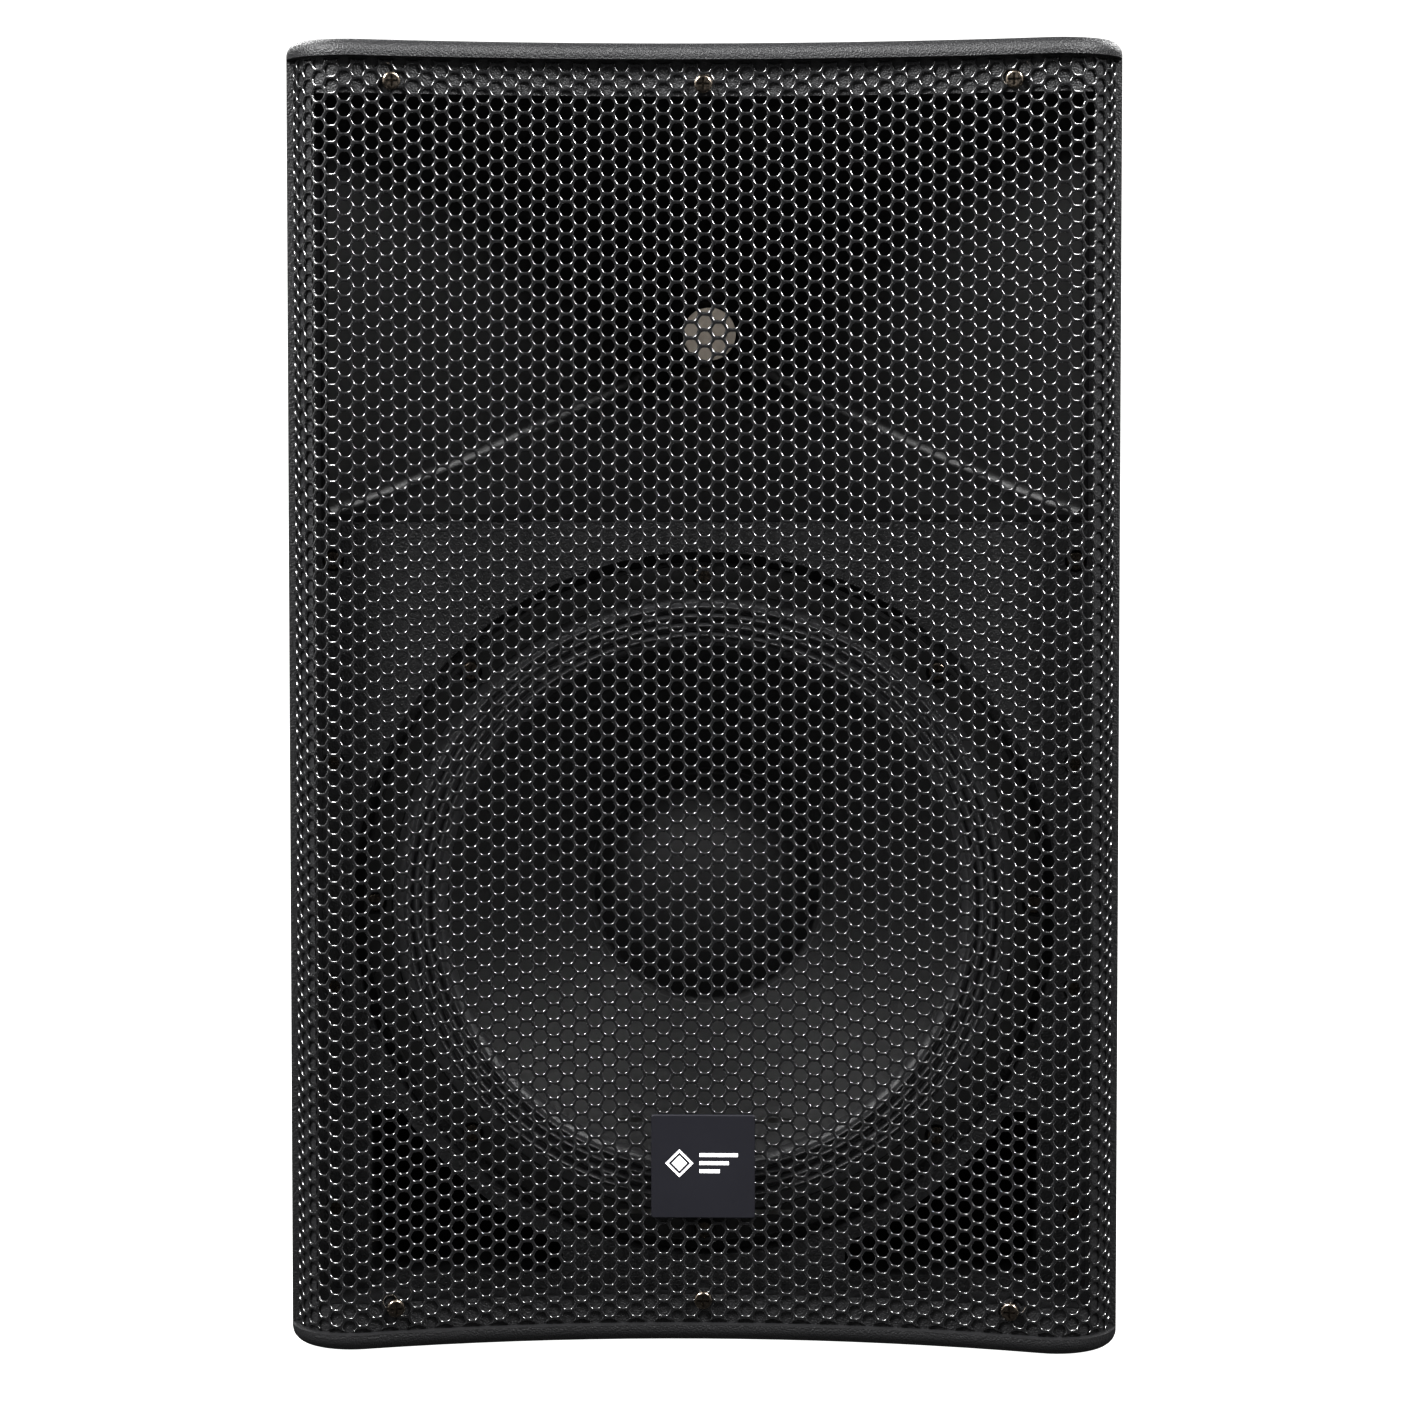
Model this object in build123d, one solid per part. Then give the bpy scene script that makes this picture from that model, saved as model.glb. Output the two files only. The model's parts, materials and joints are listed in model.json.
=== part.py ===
from build123d import *
from math import atan2, cos, degrees, pi, radians, sin, sqrt, tan
import os

# Two-way active loudspeaker cabinet: a 12 inch woofer and a 1 inch compression driver on a wide horn, in a
# two-piece moulded enclosure with a concave perforated steel grille and a rear amplifier module.
#
# Units are millimetres. X runs across the front, Z is up, and the front faces -Y. Shapes are drawn with
# Y = 0 at the foremost point of the front lip, so a Y here is a depth behind the lip, and export() moves
# everything so that the origin is the centre of the cabinet's footprint, at the underside of its feet.

# Driving dimensions of the enclosure.
WIDTH = 366.0
DEPTH = 320.0
TOP = 577.0
FOOT_HEIGHT = 4.0
WALL = 4.5
FLOOR_WALL = 5.0
BACK_WIDTH = 240.0
TAPER_START = 74.0
EDGE_ROUND = 6.0
SEAM = 60.0
SEAM_GAP = 0.8
LIP = 7.5
BEND_ROUND = 25.0
BACK_ROUND = 35.0
TONGUE = 1.8
TONGUE_GAP = 0.5

# Concave front: a shallow arc across the middle, turned back at each side by a corner arc.
LIP_ARC = 537.0
LIP_CORNER = 28.0
GRILLE_ARC = 540.0
GRILLE_CORNER = 25.0
GRILLE_CORNER_X = 155.5
GRILLE_BEHIND_LIP = 3.5
GRILLE_WRAP = 80.0
GRILLE_SHEET = 1.2
SEAT_GAP = 0.15
GRILLE_EDGE_GAP = 1.2
GRILLE_SCREW_INSET = 18.0
GRILLE_SCREW_XS = (-135.0, 0.0, 135.0)

# Badge on the grille, with the spring strips behind it.
BADGE_HALF = 23.0
BADGE_LOW = 59.0
BADGE_HIGH = 105.0
BADGE_PROUD = 2.2
BADGE_BACK = 0.6
CLIP_LEFT = -37.0
CLIP_RIGHT = 39.0
CLIP_ZS = (61.0, 102.0)
CLIP_THICK = 0.8

# Baffle.
BAFFLE_FACE = 34.0
BAFFLE_PLATE = 5.0
FLANGE_BOTTOM = 24.0
FLANGE_TOP = 553.8
FACE_HALF = 170.0
HORN_HOLE_HALF = 160.0
COUNTERBORE = 3.2

# Horn and compression driver.
HORN_LEDGE = 367.0
HORN_FACE = 37.0
HORN_DEPTH = 118.0
HORN_AXIS_Z = 453.5
HORN_FLANGE = 6.0
HORN_WALL = 3.0
THROAT_RADIUS = 12.7
MOUTH_UP = 97.0
MOUTH_DOWN = 83.0
HORN_SHARES = (0, 0.06, 0.15, 0.3, 0.5, 0.7, 0.85, 0.95, 1)
HORN_BACK_PLATE = 5.0
HORN_BACK_RADIUS = 46.0
BOLT_CIRCLE = 38.0
BOLT_COUNT = 4
DRIVER_FRONT = HORN_FACE + HORN_DEPTH
FRONT_PLATE = 8.0
DRIVER_MAGNET = 14.0
BACK_PLATE = 6.0
COVER_DEPTH = 16.0
COVER_RADIUS = 36.0
COVER_WALL = 3.0

# Woofer.
WOOFER_Z = 197.0
RECESS_RADIUS = 157.0
SEAT = 44.0
WOOFER_HOLE = 139.0
SCREW_CIRCLE = 146.5
SCREW_COUNT = 8
FRAME_RADIUS = 152.0
FRAME_FRONT = 40.0
GASKET_INNER = 139.4
GASKET_OUTER = 150.5
GASKET_FRONT = 36.5
CONE_TOP = (117.5, 41.0)
CONE_NECK = (33.2, 112.0)
CAP_RADIUS = 53.0
CAP_RISE = 18.0
CAP_BASE = 95.0
CAP_SHEET = 0.9
CAP_STEPS = 8
SHELF = 118.0
PLATE_FRONT = 134.0
TOP_PLATE = 8.0
MAGNET_THICK = 20.0
YOKE_PLATE = 8.0
COIL_RADIUS = 32.0
COIL_THICK = 0.8

# Ports: corner cut-outs that follow the woofer.
PORT_SIDE = 148.5
PORT_FLOOR = 30.5
PORT_TOP = 104.8
PORT_INNER = 63.0
PORT_ARC = 164.0
PORT_ROUND = 5.0
PORT_WALL = 3.0
PORT_END = 125.0

# Crossover board on the floor.
BOARD_Z = 14.0
BOARD_TOP = BOARD_Z + 1.6
BOARD_HALF = 58.0
BOARD_FRONT = 204.0
BOARD_BACK = 282.0
BOARD_POST_XS = (-52, 52)
BOARD_POST_YS = (210, 276)
COILS = ((-34, 228, 19), (4, 262, 15))
COIL_HEIGHT = 14.0
CAPACITOR_X = 34.0
CAPACITOR_YS = (216, 234, 252)
CAPACITOR_RADIUS = 7.0
CAPACITOR_LENGTH = 30.0

# Rear amplifier recess and panel.
REAR_FLOOR = 304.0
RECESS_HALF = 86.0
RECESS_LOW = 120.0
RECESS_HIGH = 382.0
PANEL = 2.5
PANEL_FACE = REAR_FLOOR + PANEL
PANEL_SCREWS = [(x, z) for x in (-80.5, 80.5) for z in (126, 211, 291, 376)]
KNOB_Z = 358.0
SOCKET_Z = 322.0
KNOB_XS = {
    "mic_knob": -66.0,
    "line_knob": -38.0,
    "bass_knob": -10.0,
    "treble_knob": 18.0,
    "master_knob": 50.0,
}
MASTER_RADIUS = 10.5
SMALL_RADIUS = 7.5
KNOB_FLUTES = 12
SHAFT_RADIUS = 3.0
SOCKET_BODY = 11.9
JACK_RADIUS = 3.2
COMBO_XS = (-62.0, -28.0)
LINK_X = 6.0
RCA_X = 38.0
RCA_ZS = (314.0, 330.0)
BUTTON_XZ = (64.0, 322.0)
LED_XS = (60.0, 70.0)
LED_Z = 340.0
INLET_XZ = (-42.0, 154.0)
SWITCH_XZ = (44.0, 158.0)
HEATSINK_LOW = 198.0
HEATSINK_HIGH = 290.0
HEATSINK_HALF = 62.0
FIN_COUNT = 16
FIN_THICK = 1.8
TRANSFORMER_Z = 166.0
TRANSFORMER_FRONT = 240.0
TRANSFORMER_BACK = 276.0
ROCKER_PIVOT = PANEL_FACE - 3.0
ROCKER_TILT = 10.0

# Underside, top and fixings.
POLE_BORE = 18.0
POLE_DEPTH = 80.0
POLE_Y = 150.0
POLE_FLANGE = 42.0
POLE_TUBE = 22.0
FOOT_RADIUS = 14.0
FOOT_XY = ((-130.0, 86.0), (130.0, 86.0), (-92.0, 282.0), (92.0, 282.0))
HANDLE_HALF = 66.0
HANDLE_FRONT = 134.0
HANDLE_BACK = 216.0
HANDLE_DEEP = 48.0
HANDLE_FLANGE = 8.0
HANDLE_WALL = 3.0
GRIP_DEEP = 15.0
GRIP_WIDE = 27.0
FLY_X = 110.0
FLY_Y = 118.0
FLY_RADIUS = 7.0
FLY_BORE = 4.0
SHELL_SCREW_X = 164.5
SHELL_SCREW_ZS = (60.0, 160.0, 260.0, 350.0)


# ---- helpers -------------------------------------------------------------------------------------
def block(x0, x1, y0, y1, z0, z1):
    """A box given by its faces."""
    return Pos((x0 + x1) / 2, (y0 + y1) / 2, (z0 + z1) / 2) * Box(x1 - x0, y1 - y0, z1 - z0)


def rounded_block(half_x, y0, y1, z0, z1, radius, x=0.0):
    """A box whose four edges along Y are rounded."""
    face = RectangleRounded(2 * half_x, z1 - z0, radius)
    return extrude(facing(x, y1, (z0 + z1) / 2) * face, y1 - y0)


def facing(x, y, z):
    """A plane that looks forward (-Y), with its own Y axis up."""
    return Plane(origin=(x, y, z), x_dir=(1, 0, 0), z_dir=(0, -1, 0))


def rod(radius, y0, y1, x=0.0, z=0.0):
    """A cylinder along Y."""
    return Pos(x, (y0 + y1) / 2, z) * Rot(90, 0, 0) * Cylinder(radius, y1 - y0)


def tube(inner, outer, y0, y1, x=0.0, z=0.0):
    return rod(outer, y0, y1, x, z) - rod(inner, y0 - 1, y1 + 1, x, z)


def turned(points, z):
    """A solid of revolution about the Y axis at height z, from (radius, depth) points."""
    return Pos(0, 0, z) * revolve(make_face(Polyline(*points, close=True)), Axis.Y)


def group(shapes):
    """Several separate solids in one node."""
    return Compound(children=[s for shape in shapes for s in shape.solids()])


def ring_of(count, start=0.0):
    return [radians(start + i * 360 / count) for i in range(count)]


def export(name, shape):
    """Writes a node, moved so that the footprint's centre is the origin."""
    export_step(Pos(0, -DEPTH / 2, 0) * shape, f"parts/{name}.step")


# ---- plan outlines -------------------------------------------------------------------------------
def corner_centre_y(arc, corner, corner_x, middle):
    """Depth of the corner arc's centre, where the corner meets the concave arc in a smooth line."""
    return middle - arc + sqrt((arc + corner) ** 2 - corner_x ** 2)


LIP_CORNER_X = WIDTH / 2 - LIP_CORNER
LIP_MIDDLE = LIP_CORNER + LIP_ARC - sqrt((LIP_ARC + LIP_CORNER) ** 2 - LIP_CORNER_X ** 2)
GRILLE_MIDDLE = LIP_MIDDLE + GRILLE_BEHIND_LIP
GRILLE_CORNER_Y = corner_centre_y(GRILLE_ARC, GRILLE_CORNER, GRILLE_CORNER_X, GRILLE_MIDDLE)


def front_edges(arc, corner, corner_x, middle, wrap):
    """Left corner, concave middle and right corner of a front line, as three tangent arcs."""
    centre_y = corner_centre_y(arc, corner, corner_x, middle)
    lean = atan2(corner_x, centre_y - middle + arc)

    def on_corner(side, angle):
        return (side * (corner_x + corner * sin(angle)), centre_y - corner * cos(angle))

    def corner_arc(side):
        middle_angle = (radians(wrap) - lean) / 2
        end = on_corner(side, radians(wrap))
        return ThreePointArc(on_corner(side, -lean), on_corner(side, middle_angle), end)

    across = ThreePointArc(on_corner(-1, -lean), (0, middle), on_corner(1, -lean))
    return [corner_arc(-1), across, corner_arc(1)]


def body_outline(inset):
    """Plan of the enclosure, moved inwards by inset."""
    taper = atan2((WIDTH - BACK_WIDTH) / 2, DEPTH - TAPER_START)
    side = WIDTH / 2 - inset
    bend = (side, TAPER_START - inset * tan(taper / 2))
    back = (BACK_WIDTH / 2 - inset * (1 - sin(taper)) / cos(taper), DEPTH - inset)
    front = front_edges(LIP_ARC + inset, LIP_CORNER - inset, LIP_CORNER_X, LIP_MIDDLE + inset, 90)
    start = (side, LIP_CORNER)
    rest = Polyline(start, bend, back, (-back[0], back[1]), (-bend[0], bend[1]), (-start[0], start[1]))
    face = make_face(front + [rest])
    face = face.face().fillet_2d(BEND_ROUND, [v for v in face.vertices() if abs(v.Y - bend[1]) < 0.01])
    return face.fillet_2d(BACK_ROUND - inset, [v for v in face.vertices() if abs(v.Y - back[1]) < 0.01])


def behind_grille(set_back):
    """Everything behind the grille's outer surface, moved back by set_back, as a plan face."""
    edges = front_edges(GRILLE_ARC + set_back, GRILLE_CORNER - set_back, GRILLE_CORNER_X,
                        GRILLE_MIDDLE + set_back, GRILLE_WRAP)
    left = edges[0] @ 1
    right = edges[2] @ 1
    back = Polyline((right.X, right.Y), (right.X, SEAM), (left.X, SEAM), (left.X, left.Y))
    return make_face(edges + [back])


def prism(face, z0, z1):
    return extrude(Pos(0, 0, z0) * face, z1 - z0)


# ---- enclosure -----------------------------------------------------------------------------------
def body_block():
    """The whole enclosure as a solid with rounded top and bottom edges."""
    solid = prism(body_outline(0), FOOT_HEIGHT, TOP)
    middle = (TOP + FOOT_HEIGHT) / 2
    rims = [e for e in solid.edges() if abs(e.center().Z - middle) > (TOP - FOOT_HEIGHT) / 2 - 0.01]
    return fillet(rims, EDGE_ROUND)


def inside():
    return prism(body_outline(WALL), FOOT_HEIGHT + FLOOR_WALL, TOP - FLOOR_WALL)


def port_face(grow):
    """Outline of the right-hand port in the X-Z plane, grown outwards by grow."""
    outer = PORT_SIDE + grow
    inner = PORT_INNER - grow
    arc = PORT_ARC - grow
    low = PORT_FLOOR - grow
    high = PORT_TOP + grow

    def on_arc(x):
        return WOOFER_Z - sqrt(arc ** 2 - x ** 2)

    top_x = sqrt(arc ** 2 - (WOOFER_Z - high) ** 2)
    middle_x = (inner + top_x) / 2
    wire = [Polyline((top_x, high), (outer, high), (outer, low), (inner, low), (inner, on_arc(inner))),
            ThreePointArc((inner, on_arc(inner)), (middle_x, on_arc(middle_x)), (top_x, high))]
    face = make_face(wire).face()
    return face.fillet_2d(PORT_ROUND, face.vertices())


def port_prism(side, grow, y0, y1):
    solid = extrude(facing(0, y1, 0) * port_face(grow), y1 - y0)
    return solid if side > 0 else mirror(solid, Plane.YZ)


def grille_screw_spots():
    """(x, depth of the grille's outer surface, z, lean about Z in degrees) of each grille screw."""
    spots = []
    for z in (FOOT_HEIGHT + GRILLE_SCREW_INSET, TOP - GRILLE_SCREW_INSET):
        for x in GRILLE_SCREW_XS:
            y = GRILLE_MIDDLE - GRILLE_ARC + sqrt(GRILLE_ARC ** 2 - x ** 2)
            spots.append((x, y, z, degrees(atan2(x, sqrt(GRILLE_ARC ** 2 - x ** 2)))))
    return spots


def along_grille(spot, shape):
    """Places a shape drawn along Y with its origin on the grille, square to the sheet."""
    x, y, z, lean = spot
    return Pos(x, y, z) * Rot(0, 0, -lean) * shape


def woofer_screw_spots():
    return [(SCREW_CIRCLE * sin(a), WOOFER_Z + SCREW_CIRCLE * cos(a)) for a in ring_of(SCREW_COUNT)]


def shell_screw_spots():
    return [(side * SHELL_SCREW_X, z) for z in SHELL_SCREW_ZS for side in (-1, 1)]


def inner_band(gap):
    """The locating tongue inside the joint: a band that starts gap inside the inner wall."""
    inner = TONGUE_GAP + TONGUE
    outer = prism(body_outline(WALL + gap), FOOT_HEIGHT + FLOOR_WALL + gap, TOP - FLOOR_WALL - gap)
    return outer - prism(body_outline(WALL + inner), FOOT_HEIGHT + FLOOR_WALL + inner, TOP - FLOOR_WALL - inner)


def front_baffle():
    """The front moulding: lip, recessed face, woofer seat, ports and the bosses of every screw."""
    shape = body_block() & block(-200, 200, -5, SEAM, 0, TOP + 5)
    pocket = block(-200, 200, -20, GRILLE_CORNER_Y - 3.4, FOOT_HEIGHT + LIP, TOP - LIP)
    pocket += block(-140, 140, -20, GRILLE_MIDDLE + 3, FOOT_HEIGHT + LIP, TOP - LIP)
    seat = prism(behind_grille(GRILLE_SHEET + SEAT_GAP), FOOT_HEIGHT, TOP)
    shape -= pocket - seat
    shape -= block(-FACE_HALF, FACE_HALF, -20, BAFFLE_FACE, FLANGE_BOTTOM, FLANGE_TOP)
    shape -= block(-FACE_HALF, FACE_HALF, -20, HORN_FACE + HORN_FLANGE, HORN_LEDGE, FLANGE_TOP)
    for spot in grille_screw_spots():
        shape += along_grille(spot, rod(5, GRILLE_SHEET + SEAT_GAP, 14))
    horn_plate = HORN_FACE + HORN_FLANGE + 4
    shape -= inside() & block(-200, 200, BAFFLE_FACE + BAFFLE_PLATE, SEAM + 1, 0, HORN_LEDGE - 5)
    shape -= inside() & block(-200, 200, horn_plate, SEAM + 1, HORN_LEDGE - 5, TOP)
    shape -= rounded_block(HORN_HOLE_HALF, 0, SEAM, HORN_LEDGE + 3.5, FLANGE_TOP - 3.8, 6)
    shape += rod(RECESS_RADIUS + 3.5, BAFFLE_FACE, SEAT + 5, 0, WOOFER_Z)
    shape -= rod(RECESS_RADIUS, 0, SEAT, 0, WOOFER_Z)
    shape -= rod(WOOFER_HOLE, 0, SEAM, 0, WOOFER_Z)
    for side in (-1, 1):
        shape -= port_prism(side, 0, 0, SEAM)
    shape += inner_band(-TONGUE_GAP) & block(-200, 200, SEAM - 8, SEAM, 0, TOP)
    shape += inner_band(0.3) & block(-200, 200, SEAM - 1, SEAM + 6, 0, TOP)
    for x, z in shell_screw_spots():
        shape += rod(5.5, BAFFLE_FACE, SEAM, x, z)
        shape -= rod(5.0, BAFFLE_FACE - 1, BAFFLE_FACE + COUNTERBORE, x, z)
        shape -= rod(2.2, BAFFLE_FACE - 1, SEAM + 1, x, z)
    for spot in grille_screw_spots():
        shape -= along_grille(spot, rod(1.9, -4, 14))
    for x, z in woofer_screw_spots():
        shape -= rod(2.25, SEAT - 1, SEAT + 6, x, z)
    return shape


def rear_shell():
    """The rear moulding, with its amplifier recess, the handle's hole and the sockets underneath."""
    shape = body_block() & block(-200, 200, SEAM + SEAM_GAP, DEPTH + 5, 0, TOP + 5)
    shape -= inside()
    shape += rounded_block(RECESS_HALF + 4, REAR_FLOOR - 4, DEPTH - 1, RECESS_LOW - 4, RECESS_HIGH + 4, 10)
    shape -= rounded_block(RECESS_HALF, REAR_FLOOR, DEPTH + 5, RECESS_LOW, RECESS_HIGH, 6)
    shape -= rounded_block(RECESS_HALF - 9, REAR_FLOOR - 10, REAR_FLOOR + 1, RECESS_LOW + 9, RECESS_HIGH - 9, 4)
    shape -= block(-HANDLE_HALF, HANDLE_HALF, HANDLE_FRONT, HANDLE_BACK, TOP - 20, TOP + 5)
    rim = 2 * HANDLE_FLANGE + 1
    rebate = RectangleRounded(2 * HANDLE_HALF + rim, HANDLE_BACK - HANDLE_FRONT + rim, 10)
    middle = (HANDLE_FRONT + HANDLE_BACK) / 2
    shape -= extrude(Pos(0, middle, TOP - 2.5) * rebate, 5)
    shape -= Pos(0, POLE_Y, 0) * Cylinder(POLE_TUBE + 2.4, 60)
    shape -= Pos(0, POLE_Y, FOOT_HEIGHT) * Cylinder(POLE_FLANGE + 0.4, 5)
    for x, y in FOOT_XY:
        shape -= Pos(x, y, FOOT_HEIGHT) * Cylinder(FOOT_RADIUS + 0.2, 4)
    for x in (-FLY_X, FLY_X):
        shape += Pos(x, FLY_Y, TOP - 12) * Cylinder(FLY_RADIUS + 4, 21)
        shape -= Pos(x, FLY_Y, TOP - 12) * Cylinder(FLY_RADIUS + 0.05, 30)
    for x, z in shell_screw_spots():
        wall_x = 1.085 * x
        shape += rod(5.0, SEAM + 1.2, SEAM + 26, x, z)
        shape += block(min(x, wall_x), max(x, wall_x), SEAM + 7, SEAM + 26, z - 1.5, z + 1.5)
        shape -= rod(1.9, SEAM, SEAM + 24, x, z)
    return shape


def grille():
    """The bent steel sheet, with its screw holes."""
    sheet = behind_grille(0) - behind_grille(GRILLE_SHEET)
    sheet = prism(sheet, FOOT_HEIGHT + LIP + GRILLE_EDGE_GAP, TOP - LIP - GRILLE_EDGE_GAP)
    end_y = GRILLE_CORNER_Y - GRILLE_CORNER * cos(radians(GRILLE_WRAP))
    for side in (-175, 175):
        sheet -= block(side - 15, side + 15, end_y, SEAM + 5, 0, TOP)
    for spot in grille_screw_spots():
        sheet -= along_grille(spot, rod(2.3, -4, 6))
    return sheet


def screw(head_radius, head_height, shank_radius, length, drive=2.6):
    """A pan-head screw along +Y: its head ends at Y = 0, where it bears, and carries a cross recess."""
    head = rod(head_radius, -head_height, 0)
    head = fillet([e for e in head.edges() if abs(e.center().Y + head_height) < 0.01], head_height * 0.45)
    slot = block(-drive, drive, -head_height - 1, -head_height * 0.35, -0.45, 0.45)
    slot += block(-0.45, 0.45, -head_height - 1, -head_height * 0.35, -drive, drive)
    return head - slot + rod(shank_radius, -0.2, length)


def grille_screws():
    return group([along_grille(spot, screw(4.0, 2.6, 1.8, 12)) for spot in grille_screw_spots()])


def shell_screws():
    bearing = BAFFLE_FACE + COUNTERBORE
    return group([Pos(x, bearing, z) * screw(4.2, 2.4, 1.85, 40) for x, z in shell_screw_spots()])


def badge():
    face = GRILLE_MIDDLE - BADGE_PROUD
    plate = rounded_block(BADGE_HALF, face, GRILLE_MIDDLE - BADGE_BACK, BADGE_LOW, BADGE_HIGH, 1.2)
    front = [e for e in plate.edges() if abs(e.center().Y - face) < 0.01]
    return chamfer(front, 0.4)


def badge_clips():
    """Two spring strips behind the grille that hold the badge."""
    y = GRILLE_MIDDLE + GRILLE_SHEET + 0.2
    return group([block(CLIP_LEFT, CLIP_RIGHT, y, y + CLIP_THICK, z - 1, z + 1) for z in CLIP_ZS])


def port_duct(side):
    y0 = BAFFLE_FACE + BAFFLE_PLATE
    return port_prism(side, PORT_WALL, y0, PORT_END) - port_prism(side, 0, y0 - 1, PORT_END + 1)


# ---- horn and compression driver -------------------------------------------------------------------
def horn_section(share, grow):
    """A rounded rectangle across the horn; share runs from 0 at the throat to 1 at the mouth."""
    half = THROAT_RADIUS + 143 * share + 11 * share ** 6
    up = THROAT_RADIUS + (MOUTH_UP - THROAT_RADIUS) * share
    down = THROAT_RADIUS + (MOUTH_DOWN - THROAT_RADIUS) * share
    corner = max(4.0, (THROAT_RADIUS - 0.1) * (1 - 6 * share)) + grow
    centre = HORN_AXIS_Z + (up - down) / 2
    plane = facing(0, HORN_FACE + HORN_DEPTH * (1 - share), centre)
    return plane * RectangleRounded(2 * (half + grow), up + down + 2 * grow, corner)


def horn_flare():
    """The horn: its bell, the flange it is fixed by and the plate the driver bolts to."""
    bell = loft([horn_section(s, HORN_WALL) for s in HORN_SHARES], ruled=True)
    low = HORN_LEDGE + 3.8
    high = FLANGE_TOP - 4.1
    bell &= rounded_block(HORN_HOLE_HALF - 0.3, HORN_FACE + 1, DRIVER_FRONT, low, high, 5.7)
    flange = block(-FACE_HALF + 0.3, FACE_HALF - 0.3, HORN_FACE, HORN_FACE + HORN_FLANGE,
                   HORN_LEDGE + 0.3, FLANGE_TOP - 0.3)
    shape = bell + flange - loft([horn_section(s, 0) for s in HORN_SHARES], ruled=True)
    plate = DRIVER_FRONT - HORN_BACK_PLATE
    shape += tube(THROAT_RADIUS + 2.5, HORN_BACK_RADIUS, plate, DRIVER_FRONT, 0, HORN_AXIS_Z)
    for x, z in driver_bolt_spots():
        shape -= rod(2.6, plate - 4, DRIVER_FRONT + 1, x, z)
    return shape


def driver_bolt_spots():
    return [(BOLT_CIRCLE * sin(a), HORN_AXIS_Z + BOLT_CIRCLE * cos(a)) for a in ring_of(BOLT_COUNT, 45)]


def throat_screen():
    return rod(THROAT_RADIUS - 0.15, DRIVER_FRONT - 1.0, DRIVER_FRONT - 0.4, 0, HORN_AXIS_Z)


def driver_plates():
    """The steel plates in front of and behind the magnet."""
    front = tube(THROAT_RADIUS, 44, DRIVER_FRONT, DRIVER_FRONT + FRONT_PLATE, 0, HORN_AXIS_Z)
    for x, z in driver_bolt_spots():
        front -= rod(2.05, DRIVER_FRONT - 1, DRIVER_FRONT + FRONT_PLATE + 1, x, z)
    y = DRIVER_FRONT + FRONT_PLATE + DRIVER_MAGNET
    return group([front, tube(20.5, 40, y, y + BACK_PLATE, 0, HORN_AXIS_Z)])


def driver_magnet():
    y = DRIVER_FRONT + FRONT_PLATE
    return tube(23, 42.5, y, y + DRIVER_MAGNET, 0, HORN_AXIS_Z)


def driver_phase_plug():
    y = DRIVER_FRONT + FRONT_PLATE + 0.2
    end = DRIVER_FRONT + FRONT_PLATE + DRIVER_MAGNET
    plug = turned([(0, y), (THROAT_RADIUS - 0.5, y), (THROAT_RADIUS + 3, end), (0, end)], HORN_AXIS_Z)
    return plug - rod(3, y - 5, end + 6, 0, HORN_AXIS_Z)


def driver_diaphragm():
    """Dome with its flat rim and coil, which moves a fraction of a millimetre."""
    y = DRIVER_FRONT + FRONT_PLATE + DRIVER_MAGNET + 1.2
    front = [(0, y + 4.5), (8, y + 3.6), (14, y + 1.6), (17.5, y), (19.8, y)]
    back = [(19.8, y + 0.3), (17.6, y + 0.3), (14, y + 1.9), (8, y + 3.9), (0, y + 4.8)]
    return turned(front + back, HORN_AXIS_Z)


def driver_rear_cover():
    y = DRIVER_FRONT + FRONT_PLATE + DRIVER_MAGNET + BACK_PLATE
    end = y + COVER_DEPTH
    cover = rod(COVER_RADIUS, y, end, 0, HORN_AXIS_Z)
    cover = fillet([e for e in cover.edges() if abs(e.center().Y - end) < 0.01], 5)
    return cover - rod(COVER_RADIUS - COVER_WALL, y - 1, end - COVER_WALL, 0, HORN_AXIS_Z)


def driver_bolts():
    y = DRIVER_FRONT - HORN_BACK_PLATE
    return group([Pos(x, y, z) * screw(4.4, 3.4, 2.0, 12.5) for x, z in driver_bolt_spots()])


# ---- woofer ----------------------------------------------------------------------------------------
def woofer_basket():
    """Pressed steel frame with windows between its eight arms."""
    rim = [(134, FRAME_FRONT), (FRAME_RADIUS, FRAME_FRONT), (FRAME_RADIUS, SEAT), (137.5, SEAT)]
    outside = [(85, 112), (83, 128), (76, PLATE_FRONT), (38, PLATE_FRONT)]
    inside_line = [(38, PLATE_FRONT - 3), (73, PLATE_FRONT - 3), (76, SHELF + 1), (80, 111), (134, 43)]
    basket = turned(rim + outside + inside_line, WOOFER_Z)
    for angle in ring_of(SCREW_COUNT, 22.5):
        turn = Pos(0, 0, WOOFER_Z) * Rot(0, degrees(angle), 0)
        basket -= turn * block(-19, 19, 58, 100, 84, 128)
        basket -= turn * block(-14, 14, 108, 126, 74, 90)
    for x, z in woofer_screw_spots():
        basket -= rod(2.6, 38, SEAT + 1, x, z)
    return basket


def woofer_gasket():
    """The gasket's segments: a ring cut away round each screw."""
    ring = tube(GASKET_INNER, GASKET_OUTER, GASKET_FRONT, FRAME_FRONT, 0, WOOFER_Z)
    for x, z in woofer_screw_spots():
        ring -= rod(5.2, GASKET_FRONT - 0.5, FRAME_FRONT + 1, x, z)
        ring -= Pos(x, 38, z) * Rot(0, degrees(atan2(x, z - WOOFER_Z)), 0) * block(-5.2, 5.2, -3, 3, 0, 9)
    return ring


def woofer_surround():
    """Corrugated cloth edge: glued to the frame outside and to the cone inside."""
    waves = [(139.0, 39.9), (134.0, 39.9), (131.5, 36.9), (129.0, 39.9), (126.5, 36.9), (124.0, 39.9)]
    waves += [(121.5, 37.4), (118.9, 40.2)]
    back = [(r, y - 0.8) for r, y in reversed(waves)]
    return turned(waves + back, WOOFER_Z)


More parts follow.
